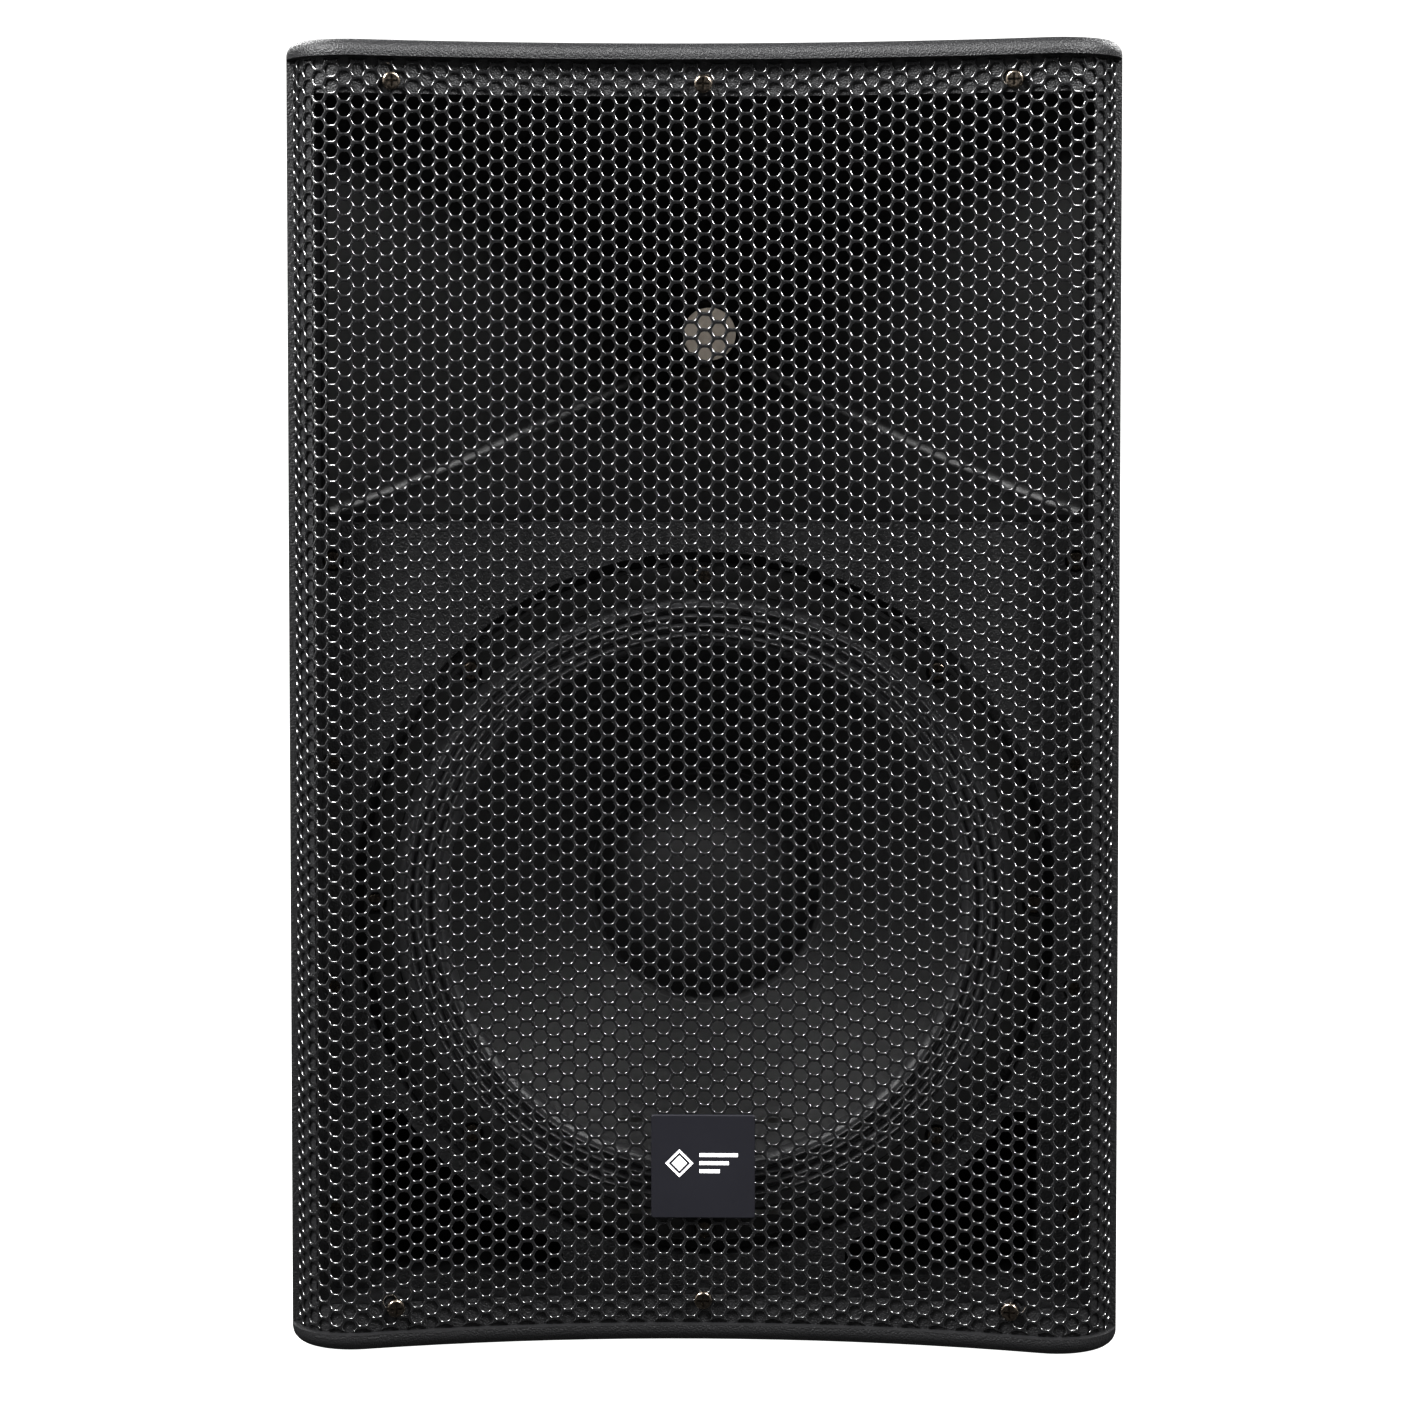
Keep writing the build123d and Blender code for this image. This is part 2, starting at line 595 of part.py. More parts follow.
def woofer_cone():
    face = [CONE_TOP, (88, 68.6), (60, 91.6), CONE_NECK]
    back = [(CONE_NECK[0], CONE_NECK[1] + 1.6), (60, 93.1), (88, 70.1), (CONE_TOP[0], CONE_TOP[1] + 1.5)]
    return turned(face + back, WOOFER_Z)


def woofer_dust_cap():
    ball = (CAP_RADIUS ** 2 + CAP_RISE ** 2) / (2 * CAP_RISE)
    centre = CAP_BASE - CAP_RISE + ball
    half = pi / 2 - atan2(centre - CAP_BASE, CAP_RADIUS)
    angles = [half * i / CAP_STEPS for i in range(CAP_STEPS + 1)]
    outer = [(ball * sin(a), centre - ball * cos(a)) for a in angles]
    inner = [(r, y + CAP_SHEET) for r, y in outer]
    return turned(outer + [(inner[-1][0] - 0.8, inner[-1][1] - 0.4)] + inner[-2::-1], WOOFER_Z)


def woofer_voice_coil():
    return tube(COIL_RADIUS, COIL_RADIUS + COIL_THICK, 112.5, 151, 0, WOOFER_Z)


def woofer_spider():
    waves = [(75.5, 119.5), (68, 117.5), (61, 120.5), (54, 117.5), (47, 120.5), (40, 117.5), (33.2, 119.5)]
    back = [(r, y + 0.7) for r, y in reversed(waves)]
    return turned(waves + back, WOOFER_Z)


def woofer_top_plate():
    return tube(34.2, 70, PLATE_FRONT, PLATE_FRONT + TOP_PLATE, 0, WOOFER_Z)


def woofer_magnet():
    y = PLATE_FRONT + TOP_PLATE
    return tube(44, 78, y, y + MAGNET_THICK, 0, WOOFER_Z)


def woofer_yoke():
    """Back plate and pole piece, with the vent through both."""
    y = PLATE_FRONT + TOP_PLATE + MAGNET_THICK
    end = y + YOKE_PLATE
    yoke = rod(70, y, end, 0, WOOFER_Z) + rod(30.5, PLATE_FRONT, y + 1, 0, WOOFER_Z)
    return yoke - rod(9, PLATE_FRONT - 1, end + 1, 0, WOOFER_Z)


def woofer_terminals():
    high = WOOFER_Z + 87
    board = block(-14, 14, 113, 115.5, high, high + 16)
    tabs = [block(x - 2.4, x + 2.4, 115.5, 126, high + 5, high + 6) for x in (-8, 8)]
    return group([board] + tabs)


def woofer_screws():
    return group([Pos(x, FRAME_FRONT, z) * screw(4.2, 2.5, 2.1, 12) for x, z in woofer_screw_spots()])


# ---- crossover ---------------------------------------------------------------------------------------
def crossover_board():
    floor = FOOT_HEIGHT + FLOOR_WALL
    board = block(-BOARD_HALF, BOARD_HALF, BOARD_FRONT, BOARD_BACK, BOARD_Z, BOARD_TOP)
    for x in BOARD_POST_XS:
        for y in BOARD_POST_YS:
            board += Pos(x, y, (floor + BOARD_Z) / 2) * Cylinder(3.5, BOARD_Z - floor)
            board -= Pos(x, y, BOARD_Z) * Cylinder(1.6, 12)
    return board


def crossover_coils():
    coils = []
    for x, y, outer in COILS:
        coil = Cylinder(outer, COIL_HEIGHT) - Cylinder(outer * 0.45, COIL_HEIGHT + 2)
        coils.append(Pos(x, y, BOARD_TOP + COIL_HEIGHT / 2) * coil)
    return group(coils)


def crossover_capacitors():
    can = Rot(0, 90, 0) * Cylinder(CAPACITOR_RADIUS, CAPACITOR_LENGTH)
    return group([Pos(CAPACITOR_X, y, BOARD_TOP + CAPACITOR_RADIUS) * can for y in CAPACITOR_YS])


# ---- amplifier module --------------------------------------------------------------------------------
def d_flange(x, z):
    """The 26 by 31 mm plate of a panel socket with its two screw holes."""
    plate = rounded_block(13, PANEL_FACE, PANEL_FACE + 2, z - 15.5, z + 15.5, 4, x)
    for sx, sz in ((-9.5, 12), (9.5, -12)):
        plate -= rod(1.6, PANEL_FACE - 1, PANEL_FACE + 3, x + sx, z + sz)
    return plate


def amp_panel():
    """The amplifier's steel plate, with a hole for each control, socket, switch and screw."""
    panel = rounded_block(RECESS_HALF - 0.8, REAR_FLOOR, PANEL_FACE, RECESS_LOW + 0.8, RECESS_HIGH - 0.8, 5)
    for x in KNOB_XS.values():
        panel -= rod(3.6, REAR_FLOOR - 1, PANEL_FACE + 1, x, KNOB_Z)
    for x in COMBO_XS + (LINK_X,):
        panel -= rod(12.1, REAR_FLOOR - 1, PANEL_FACE + 1, x, SOCKET_Z)
    for z in RCA_ZS:
        panel -= rod(4.6, REAR_FLOOR - 1, PANEL_FACE + 1, RCA_X, z)
    bx, bz = BUTTON_XZ
    panel -= block(bx - 4.2, bx + 4.2, REAR_FLOOR - 1, PANEL_FACE + 1, bz - 4.2, bz + 4.2)
    for x in LED_XS:
        panel -= rod(1.65, REAR_FLOOR - 1, PANEL_FACE + 1, x, LED_Z)
    ix, iz = INLET_XZ
    panel -= block(ix - 14, ix + 14, REAR_FLOOR - 1, PANEL_FACE + 1, iz - 22, iz + 12)
    sx, sz = SWITCH_XZ
    panel -= block(sx - 13.2, sx + 13.2, REAR_FLOOR - 1, PANEL_FACE + 1, sz - 10, sz + 10)
    for x, z in PANEL_SCREWS:
        panel -= rod(2.1, REAR_FLOOR - 1, PANEL_FACE + 1, x, z)
    return panel


def panel_screws():
    turned_back = Rot(0, 0, 180) * screw(3.6, 2.2, 1.6, 2.4, 2.2)
    return group([Pos(x, PANEL_FACE, z) * turned_back for x, z in PANEL_SCREWS])


def amp_heatsink():
    base = block(-HEATSINK_HALF, HEATSINK_HALF, PANEL_FACE, PANEL_FACE + 3, HEATSINK_LOW, HEATSINK_HIGH)
    pitch = (2 * HEATSINK_HALF - FIN_THICK) / (FIN_COUNT - 1)
    for i in range(FIN_COUNT):
        x = -HEATSINK_HALF + i * pitch
        base += block(x, x + FIN_THICK, PANEL_FACE + 2.5, DEPTH - 1.5, HEATSINK_LOW, HEATSINK_HIGH)
    return base


def amp_boards():
    """The power board and, above it, the board that carries the controls."""
    return group([block(-70, 70, 285, 286.6, 206, 290), block(-78, 78, 288, 289.6, 304, 372)])


def amp_components():
    """Filter capacitors, power transistors' bar and relay on the amplifier board."""
    parts = [rod(11, 255, 285, x, 222) for x in (-52, -26)]
    parts.append(block(-60, 60, 286.8, 303.8, 262, 272))
    parts.append(block(10, 30, 267, 285, 212, 226))
    parts.append(rod(6.5, 265, 285, 50, 250))
    return group(parts)


def transformer():
    """Ring-shaped transformer, held to the panel by a bolt through its middle."""
    ring = tube(11, 37, TRANSFORMER_FRONT, TRANSFORMER_BACK, 0, TRANSFORMER_Z)
    washer = tube(3, 20, TRANSFORMER_FRONT - 2, TRANSFORMER_FRONT, 0, TRANSFORMER_Z)
    bolt = rod(3, TRANSFORMER_FRONT - 4, REAR_FLOOR, 0, TRANSFORMER_Z)
    return group([ring, washer + bolt])


def control_bodies():
    """The bodies of the rotary controls and of the push switch, behind the panel."""
    low = KNOB_Z - 6.5
    bodies = [block(x - 6.5, x + 6.5, 289.6, REAR_FLOOR - 0.2, low, low + 13) for x in KNOB_XS.values()]
    x, z = BUTTON_XZ
    bodies.append(block(x - 6, x + 6, 289.6, REAR_FLOOR - 9.2, z - 6, z + 6))
    return group(bodies)


def knob(name):
    """A fluted knob with its shaft, on its own pot."""
    x = KNOB_XS[name]
    radius = MASTER_RADIUS if name == "master_knob" else SMALL_RADIUS
    y0 = PANEL_FACE + 1.2
    y1 = DEPTH - 2
    side = [(radius, y0), (radius * 0.86, y1 - 0.8), (radius * 0.78, y1)]
    body = turned([(0, y0)] + side + [(0, y1)], 0)
    body -= block(-0.6, 0.6, y1 - 1.0, y1 + 1, radius * 0.2, radius + 1)
    for angle in ring_of(KNOB_FLUTES, 15):
        body -= rod(0.9, y0 + 3, y1 + 1, radius * sin(angle), radius * cos(angle))
    body += rod(SHAFT_RADIUS, REAR_FLOOR + 0.1, y0 + 1, 0, 0)
    return Pos(x, 0, KNOB_Z) * body


def combo_sockets():
    """Input sockets: a ring of three contacts round a central jack bore."""
    sockets = []
    for x in COMBO_XS:
        body = d_flange(x, SOCKET_Z) + rod(SOCKET_BODY, 291, PANEL_FACE + 2.6, x, SOCKET_Z)
        body -= tube(8.4, 10.4, PANEL_FACE + 1.0, PANEL_FACE + 4, x, SOCKET_Z)
        body -= rod(JACK_RADIUS, 293, PANEL_FACE + 4, x, SOCKET_Z)
        for angle in (90, 210, 330):
            dx = 5.9 * cos(radians(angle + 60))
            dz = 5.9 * sin(radians(angle + 60))
            body -= rod(1.3, 296, PANEL_FACE + 4, x + dx, SOCKET_Z + dz)
        body -= block(x - 2.6, x + 2.6, PANEL_FACE + 0.6, PANEL_FACE + 4, SOCKET_Z + 9.0, SOCKET_Z + 12.6)
        sockets.append(body)
    return group(sockets)


def latch(x):
    """Release tab of an input socket, pressed down to free the plug."""
    return block(x - 2.3, x + 2.3, PANEL_FACE + 0.7, PANEL_FACE + 4.2, SOCKET_Z + 10.6, SOCKET_Z + 12.4)


def link_socket():
    """Output socket with three pins, for passing the signal on."""
    body = d_flange(LINK_X, SOCKET_Z) + rod(SOCKET_BODY, 290, PANEL_FACE + 2, LINK_X, SOCKET_Z)
    body -= rod(9.4, 293, PANEL_FACE + 3, LINK_X, SOCKET_Z)
    for angle in (30, 150, 270):
        x = LINK_X + 4.7 * cos(radians(angle))
        z = SOCKET_Z + 4.7 * sin(radians(angle))
        body += rod(1.2, 292, PANEL_FACE, x, z)
    return body


def rca_sockets():
    sockets = []
    for z in RCA_ZS:
        barrel = rod(4.1, PANEL_FACE + 1, PANEL_FACE + 9, RCA_X, z) + rod(4.5, 292, PANEL_FACE + 1, RCA_X, z)
        barrel += rod(6.0, PANEL_FACE, PANEL_FACE + 1.2, RCA_X, z)
        sockets.append(barrel - rod(1.7, PANEL_FACE - 4, PANEL_FACE + 10, RCA_X, z))
    return group(sockets)


def mic_line_button():
    x, z = BUTTON_XZ
    return block(x - 3.9, x + 3.9, REAR_FLOOR - 6, PANEL_FACE + 4.5, z - 3.9, z + 3.9)


def led_lenses():
    return group([rod(1.5, REAR_FLOOR - 6, PANEL_FACE + 1.2, x, LED_Z) for x in LED_XS])


def mains_inlet():
    """Three-pin appliance inlet with the opening for its fuse drawer below."""
    x, z = INLET_XZ
    body = rounded_block(24, PANEL_FACE, PANEL_FACE + 2.5, z - 26, z + 16, 2, x)
    body += block(x - 13.8, x + 13.8, 280, PANEL_FACE, z - 21.8, z + 11.8)
    outline = Polyline((-12.2, -8), (12.2, -8), (12.2, 3.5), (8, 8), (-8, 8), (-12.2, 3.5), close=True)
    body -= extrude(facing(x, PANEL_FACE + 5, z) * make_face(outline), 21.5)
    for dx, dz in ((-7, -2), (7, -2), (0, 2)):
        body += block(x + dx - 1, x + dx + 1, 286, PANEL_FACE - 2, z + dz - 2, z + dz + 2)
    body -= block(x - 11.3, x + 11.3, 284, PANEL_FACE + 4, z - 20.3, z - 11.7)
    for sx in (-20, 20):
        body -= rod(1.7, PANEL_FACE - 1, PANEL_FACE + 4, x + sx, z)
    return body


def fuse_drawer():
    x, z = INLET_XZ
    drawer = block(x - 11, x + 11, 286, PANEL_FACE + 2, z - 20, z - 12)
    drawer += block(x - 11, x + 11, PANEL_FACE + 1, PANEL_FACE + 3.4, z - 20, z - 12)
    drawer -= block(x - 8, x + 8, 290, 302, z - 18, z - 11)
    return drawer - block(x - 3, x + 3, PANEL_FACE + 2.4, PANEL_FACE + 5, z - 12.9, z - 11)


def power_switch():
    x, z = SWITCH_XZ
    body = rounded_block(15.5, PANEL_FACE, PANEL_FACE + 2, z - 12, z + 12, 2, x)
    body += block(x - 13, x + 13, 284, PANEL_FACE, z - 9.8, z + 9.8)
    return body - block(x - 11.2, x + 11.2, 291, PANEL_FACE + 3, z - 8.4, z + 8.4)


def power_rocker():
    """Rocker resting in its off position: the right-hand half stands proud."""
    x, z = SWITCH_XZ
    top = [(-10.2, 2.2), (-9.4, 4.8), (0, 3.4), (9.4, 4.8), (10.2, 2.2)]
    wedge = make_face(Polyline(*top, (4, -5), (-4, -5), close=True))
    rocker = Pos(0, 0, -7.8) * extrude(wedge, 15.6)
    return Pos(x, ROCKER_PIVOT, z) * Rot(0, 0, ROCKER_TILT) * rocker


# ---- top, underside ------------------------------------------------------------------------------------
def handle_box(inset, z0, z1):
    """The handle's hollow, moved inwards by inset."""
    return block(-HANDLE_HALF + inset, HANDLE_HALF - inset, HANDLE_FRONT + inset, HANDLE_BACK - inset, z0, z1)


def top_handle_cup():
    middle = (HANDLE_FRONT + HANDLE_BACK) / 2
    rim = 2 * HANDLE_FLANGE
    flange = RectangleRounded(2 * HANDLE_HALF + rim, HANDLE_BACK - HANDLE_FRONT + rim, 9.5)
    cup = extrude(Pos(0, middle, TOP - 2.5) * flange, 2.5)
    cup += handle_box(0.4, TOP - HANDLE_DEEP, TOP - 2)
    return cup - handle_box(0.4 + HANDLE_WALL, TOP - HANDLE_DEEP + HANDLE_WALL, TOP + 1)


def top_handle_grip():
    """The soft-covered bar across the cup."""
    middle = (HANDLE_FRONT + HANDLE_BACK) / 2
    half = HANDLE_HALF - 0.4 - HANDLE_WALL
    grip = Rot(0, 90, 0) * extrude(RectangleRounded(GRIP_DEEP, GRIP_WIDE, 6), 2 * half)
    return Pos(-half, middle, TOP - 8.5) * grip


def upright(radius, z0, z1):
    """A cylinder along Z on the pole socket's axis."""
    return Pos(0, POLE_Y, (z0 + z1) / 2) * Cylinder(radius, z1 - z0)


def pole_socket():
    cup = upright(POLE_FLANGE, FOOT_HEIGHT, FOOT_HEIGHT + 2.5)
    cup += upright(POLE_TUBE, FOOT_HEIGHT, FOOT_HEIGHT + POLE_DEPTH + 4)
    return cup - upright(POLE_BORE, 0, FOOT_HEIGHT + POLE_DEPTH)


def rubber_feet():
    foot = Cylinder(FOOT_RADIUS, FOOT_HEIGHT + 1.9)
    return group([Pos(x, y, FOOT_HEIGHT / 2 + 0.95) * foot for x, y in FOOT_XY])


def fly_inserts():
    """Threaded sleeves in the roof for M8 eyebolts."""
    sleeve = Cylinder(FLY_RADIUS, 20) - Cylinder(FLY_BORE, 22)
    return group([Pos(x, FLY_Y, TOP - 10.3) * sleeve for x in (-FLY_X, FLY_X)])


def main():
    os.makedirs("parts", exist_ok=True)
    export("front_baffle", front_baffle())
    export("rear_shell", rear_shell())
    export("grille", grille())
    for make in (grille_screws, shell_screws, badge, badge_clips, horn_flare, throat_screen, driver_plates,
                 driver_magnet, driver_phase_plug, driver_diaphragm, driver_rear_cover, driver_bolts,
                 woofer_basket, woofer_gasket, woofer_surround, woofer_cone, woofer_dust_cap, woofer_voice_coil,
                 woofer_spider, woofer_top_plate, woofer_magnet, woofer_yoke, woofer_terminals, woofer_screws,
                 crossover_board, crossover_coils, crossover_capacitors, amp_panel, panel_screws, amp_heatsink,
                 amp_boards, amp_components, transformer, control_bodies, combo_sockets, link_socket,
                 rca_sockets, mic_line_button, led_lenses, mains_inlet, fuse_drawer, power_switch, power_rocker,
                 top_handle_cup, top_handle_grip, pole_socket, rubber_feet, fly_inserts):
        export(make.__name__, make())
    for name in KNOB_XS:
        export(name, knob(name))
    export("port_duct_left", port_duct(-1))
    export("port_duct_right", port_duct(1))
    export("left_latch", latch(COMBO_XS[0]))
    export("right_latch", latch(COMBO_XS[1]))


main()
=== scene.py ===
# %% [markdown]
# # A stage loudspeaker behind a perforated grille
# This lesson dresses a imported CAD model of a two-way active loudspeaker. The cabinet is a two-piece black
# moulding, and almost all that a listener sees is one bent sheet of perforated steel. The CAD model already
# holds every size and every joint, so the first step only loads it.

# %% Load the frame
import json
import math
import bmesh
import bpy
from mathutils import Matrix, Vector
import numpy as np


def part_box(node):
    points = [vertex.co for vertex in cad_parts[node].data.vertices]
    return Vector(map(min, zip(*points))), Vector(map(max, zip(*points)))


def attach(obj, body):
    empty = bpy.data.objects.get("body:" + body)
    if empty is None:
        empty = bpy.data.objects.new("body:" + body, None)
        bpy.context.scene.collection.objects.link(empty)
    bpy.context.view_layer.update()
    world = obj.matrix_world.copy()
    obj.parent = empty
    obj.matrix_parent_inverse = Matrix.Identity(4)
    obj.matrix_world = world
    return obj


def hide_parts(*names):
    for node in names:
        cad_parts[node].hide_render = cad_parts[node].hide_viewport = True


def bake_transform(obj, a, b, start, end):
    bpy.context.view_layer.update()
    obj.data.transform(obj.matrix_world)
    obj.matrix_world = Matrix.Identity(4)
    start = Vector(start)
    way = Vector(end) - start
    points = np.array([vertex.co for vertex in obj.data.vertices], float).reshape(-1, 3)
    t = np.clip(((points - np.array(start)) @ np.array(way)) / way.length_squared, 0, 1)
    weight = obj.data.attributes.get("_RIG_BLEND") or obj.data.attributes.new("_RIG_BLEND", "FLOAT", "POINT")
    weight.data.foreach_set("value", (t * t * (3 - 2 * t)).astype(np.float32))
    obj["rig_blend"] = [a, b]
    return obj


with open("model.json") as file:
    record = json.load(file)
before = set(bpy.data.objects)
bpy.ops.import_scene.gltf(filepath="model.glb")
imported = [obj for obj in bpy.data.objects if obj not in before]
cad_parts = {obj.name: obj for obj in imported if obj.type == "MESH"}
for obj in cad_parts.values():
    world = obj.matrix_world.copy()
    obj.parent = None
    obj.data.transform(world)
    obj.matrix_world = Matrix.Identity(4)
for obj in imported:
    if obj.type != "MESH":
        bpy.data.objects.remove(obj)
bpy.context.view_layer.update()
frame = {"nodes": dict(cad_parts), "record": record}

nodes = frame["nodes"]
MM = 0.001


def middle_of(name):
    """The centre of a node's box, and half its width."""
    low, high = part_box(name)
    return [(a + b) / 2 for a, b in zip(low, high)], (high.x - low.x) / 2


# %% [markdown]
# ## Camera
# A loudspeaker is shown from straight ahead. A long lens about one and a half metres away keeps the sides
# nearly parallel. The camera stands a little higher than the middle and looks slightly down, and a small
# lens shift does the rest of the framing, because a bigger tilt would make the uprights lean.

# %% Camera
CAMERA_AWAY = 1.500
CAMERA_HEIGHT = 0.408
CAMERA_SIDE = 0.034
CAMERA_TILT = 2.46
CAMERA_TURN = 1.3
LENS_MM = 87.5
SHIFT_UP = -0.09


def in_scene(name, data):
    """A new object, linked to the scene."""
    thing = bpy.data.objects.new(name, data)
    bpy.context.scene.collection.objects.link(thing)
    return thing


front_middle_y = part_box("badge")[0].y
camera_data = bpy.data.cameras.new("camera")
camera_data.lens = LENS_MM
camera_data.sensor_width = 36.0
camera_data.shift_y = SHIFT_UP
camera = in_scene("camera", camera_data)
camera.location = (CAMERA_SIDE, front_middle_y - CAMERA_AWAY, CAMERA_HEIGHT)
camera.rotation_euler = (math.radians(90 - CAMERA_TILT), 0, math.radians(CAMERA_TURN))
bpy.context.scene.camera = camera
print("camera at", [round(v, 3) for v in camera.location])

# %% [markdown]
# ## Studio
# The floor and the backdrop are one white cove, like a bowl of paper, so no view of the loudspeaker has a
# horizon. Black plastic shows only what it reflects, so the cove is left out of reflections, as black card
# beside the set would do. What is reflected is a pair of soft panels high in front, left and right: they draw
# the bright lower rim in every hole. A narrow strip on each side picks out the bent edges.

# %% Studio
COVE_FLAT = 3.2
COVE_BEND = 1.5
COVE_TOP = 3.4
COVE_SIDES = 96
PAPER_GLOW = 0.95


def cove_mesh():
    """A flat floor that bends up into a round wall."""
    line = [(0.0, 0.0), (COVE_FLAT, 0.0)]
    for i in range(1, 13):
        turn = math.radians(90 * i / 12)
        line.append((COVE_FLAT + COVE_BEND * math.sin(turn), COVE_BEND * (1 - math.cos(turn))))
    line.append((COVE_FLAT + COVE_BEND, COVE_TOP))
    shape = bmesh.new()
    middle_point = shape.verts.new((0, 0, 0))
    rings = []
    for radius, height in line[1:]:
        turns = [2 * math.pi * i / COVE_SIDES for i in range(COVE_SIDES)]
        rings.append([shape.verts.new((radius * math.cos(t), radius * math.sin(t), height)) for t in turns])
    for i in range(COVE_SIDES):
        shape.faces.new((middle_point, rings[0][i], rings[0][(i + 1) % COVE_SIDES])).smooth = True
    for low, high in zip(rings, rings[1:]):
        for i in range(COVE_SIDES):
            after = (i + 1) % COVE_SIDES
            shape.faces.new((low[i], high[i], high[after], low[after])).smooth = True
    mesh = bpy.data.meshes.new("studio_cove")
    shape.to_mesh(mesh)
    shape.free()
    return mesh


def cove_material():
    """White paper that glows a little, so that it stays white round a black object."""
    material = bpy.data.materials.new("studio_paper")
    material.use_nodes = True
    shader = material.node_tree.nodes["Principled BSDF"]
    shader.inputs["Base Color"].default_value = (0.14, 0.14, 0.14, 1)
    shader.inputs["Roughness"].default_value = 0.9
    shader.inputs["Specular IOR Level"].default_value = 0.0
    shader.inputs["Emission Color"].default_value = (1, 1, 1, 1)
    shader.inputs["Emission Strength"].default_value = PAPER_GLOW
    return material


def soft_panel(name, place, target, width, height, watts):
    light = bpy.data.lights.new(name, "AREA")
    light.shape = "RECTANGLE"
    light.size = width
    light.size_y = height
    light.energy = watts
    lamp = in_scene(name, light)
    lamp.location = place
    lamp.rotation_euler = (Vector(target) - Vector(place)).to_track_quat("-Z", "Y").to_euler()
    lamp.visible_camera = False


cove = in_scene("studio_cove", cove_mesh())
cove.data.materials.append(cove_material())
cove.visible_glossy = False
middle = (0, 0, 0.30)
soft_panel("left_high_panel", (-1.2, -1.0, 1.7), middle, 0.7, 0.6, 145)
soft_panel("right_high_panel", (1.2, -1.0, 1.7), middle, 0.55, 0.5, 120)
soft_panel("left_strip", (-1.9, -0.55, 0.7), middle, 0.25, 1.3, 5)
soft_panel("right_strip", (1.9, -0.55, 0.7), middle, 0.25, 1.3, 2.5)
soft_panel("rear_left_panel", (-1.2, 1.7, 1.9), middle, 0.9, 0.9, 50)
soft_panel("rear_right_panel", (1.3, 1.6, 1.6), middle, 0.7, 0.9, 34)
world = bpy.data.worlds.new("studio")
world.use_nodes = True
world.node_tree.nodes["Background"].inputs["Color"].default_value = (1, 1, 1, 1)
world.node_tree.nodes["Background"].inputs["Strength"].default_value = 0.05
bpy.context.scene.world = world
bpy.context.scene.view_settings.view_transform = "Standard"
bpy.context.scene.view_settings.look = "Medium High Contrast"
print("studio ready")

# %% [markdown]
# ## A small kit for finishes
# Every finish starts from the same shader and differs in its patterns. A few helpers keep the cells short:
# they add a node and feed it, start a material, make one pattern, or join the patterns to the shader. All
# patterns use Object coordinates, which are metres here, so a grain of 0.8 mm is a scale of about 1250. The
# loaded nodes carry plain stand-in materials with the same names as the finishes, so those step aside first.

# %% Finish helpers
stand_ins = list(bpy.data.materials)
for stand_in in stand_ins:
    stand_in.name = "plain_" + stand_in.name


def step(tree, kind, feeds=None, **options):
    """Adds a node, sets its options and feeds its inputs from values or from other nodes' outputs."""
    node = tree.nodes.new(kind)
    for option, value in options.items():
        setattr(node, option, value)
    for socket, value in (feeds or {}).items():
        if isinstance(value, bpy.types.NodeSocket):
            tree.links.new(value, node.inputs[socket])
        else:
            node.inputs[socket].default_value = value
    return node


def sums(tree, operation, *values):
    return step(tree, "ShaderNodeMath", dict(enumerate(values)), operation=operation).outputs[0]


def vectors(tree, operation, *values):
    return step(tree, "ShaderNodeVectorMath", dict(enumerate(values)), operation=operation).outputs[0]


def start_finish(name, metallic=0.0, specular=0.5, coat=0.0, coat_roughness=0.1):
    """A new material: its tree, its shader and the Object coordinates."""
    material = bpy.data.materials.new(name)
    material.use_nodes = True
    tree = material.node_tree
    shader = tree.nodes["Principled BSDF"]
    shader.inputs["Metallic"].default_value = metallic
    shader.inputs["Specular IOR Level"].default_value = specular
    shader.inputs["Coat Weight"].default_value = coat
    shader.inputs["Coat Roughness"].default_value = coat_roughness
    place = step(tree, "ShaderNodeTexCoord").outputs["Object"]
    return material, tree, shader, place


def noise(tree, place, grain_mm, detail=3.0, roughness=0.5):
    feeds = {"Vector": place, "Scale": 1 / (grain_mm * MM), "Detail": detail, "Roughness": roughness}
    return step(tree, "ShaderNodeTexNoise", feeds).outputs["Fac"]


def spread(tree, value, low, high, low_in=0.3, high_in=0.7):
    """Maps the middle of a pattern onto a range of values."""
    feeds = {"Value": value, "From Min": low_in, "From Max": high_in, "To Min": low, "To Max": high}
    return step(tree, "ShaderNodeMapRange", feeds).outputs["Result"]


def between(tree, share, first, second):
    """A colour between two, by a pattern. The first may be a pattern itself."""
    feeds = {"Factor": share, 6: first, 7: (*second, 1)}
    if isinstance(first, tuple):
        feeds[6] = (*first, 1)
    return step(tree, "ShaderNodeMix", feeds, data_type="RGBA").outputs[2]


def raise_surface(tree, shader, height, depth_mm, strength=1.0):
    feeds = {"Height": height, "Distance": depth_mm * MM, "Strength": strength}
    bump = step(tree, "ShaderNodeBump", feeds)
    tree.links.new(bump.outputs["Normal"], shader.inputs["Normal"])


def cover(tree, shader, colour, roughness):
    """Feeds the shader's colour from a pattern, and its roughness from a pattern or a number."""
    tree.links.new(colour, shader.inputs["Base Color"])
    if isinstance(roughness, float):
        shader.inputs["Roughness"].default_value = roughness
    else:
        tree.links.new(roughness, shader.inputs["Roughness"])


def shade(colour, amount):
    return tuple(channel * amount for channel in colour)


# %% [markdown]
# ## Moulded plastic
# Cabinets like this are moulded in polypropylene from a tool with an etched, leather-like grain, so that
# scratches don't show. Smooth Voronoi cells make the pebbles and a finer noise breaks them up. The same
# recipe with a smaller grain and less depth gives the smooth horn, the ports and the sockets.

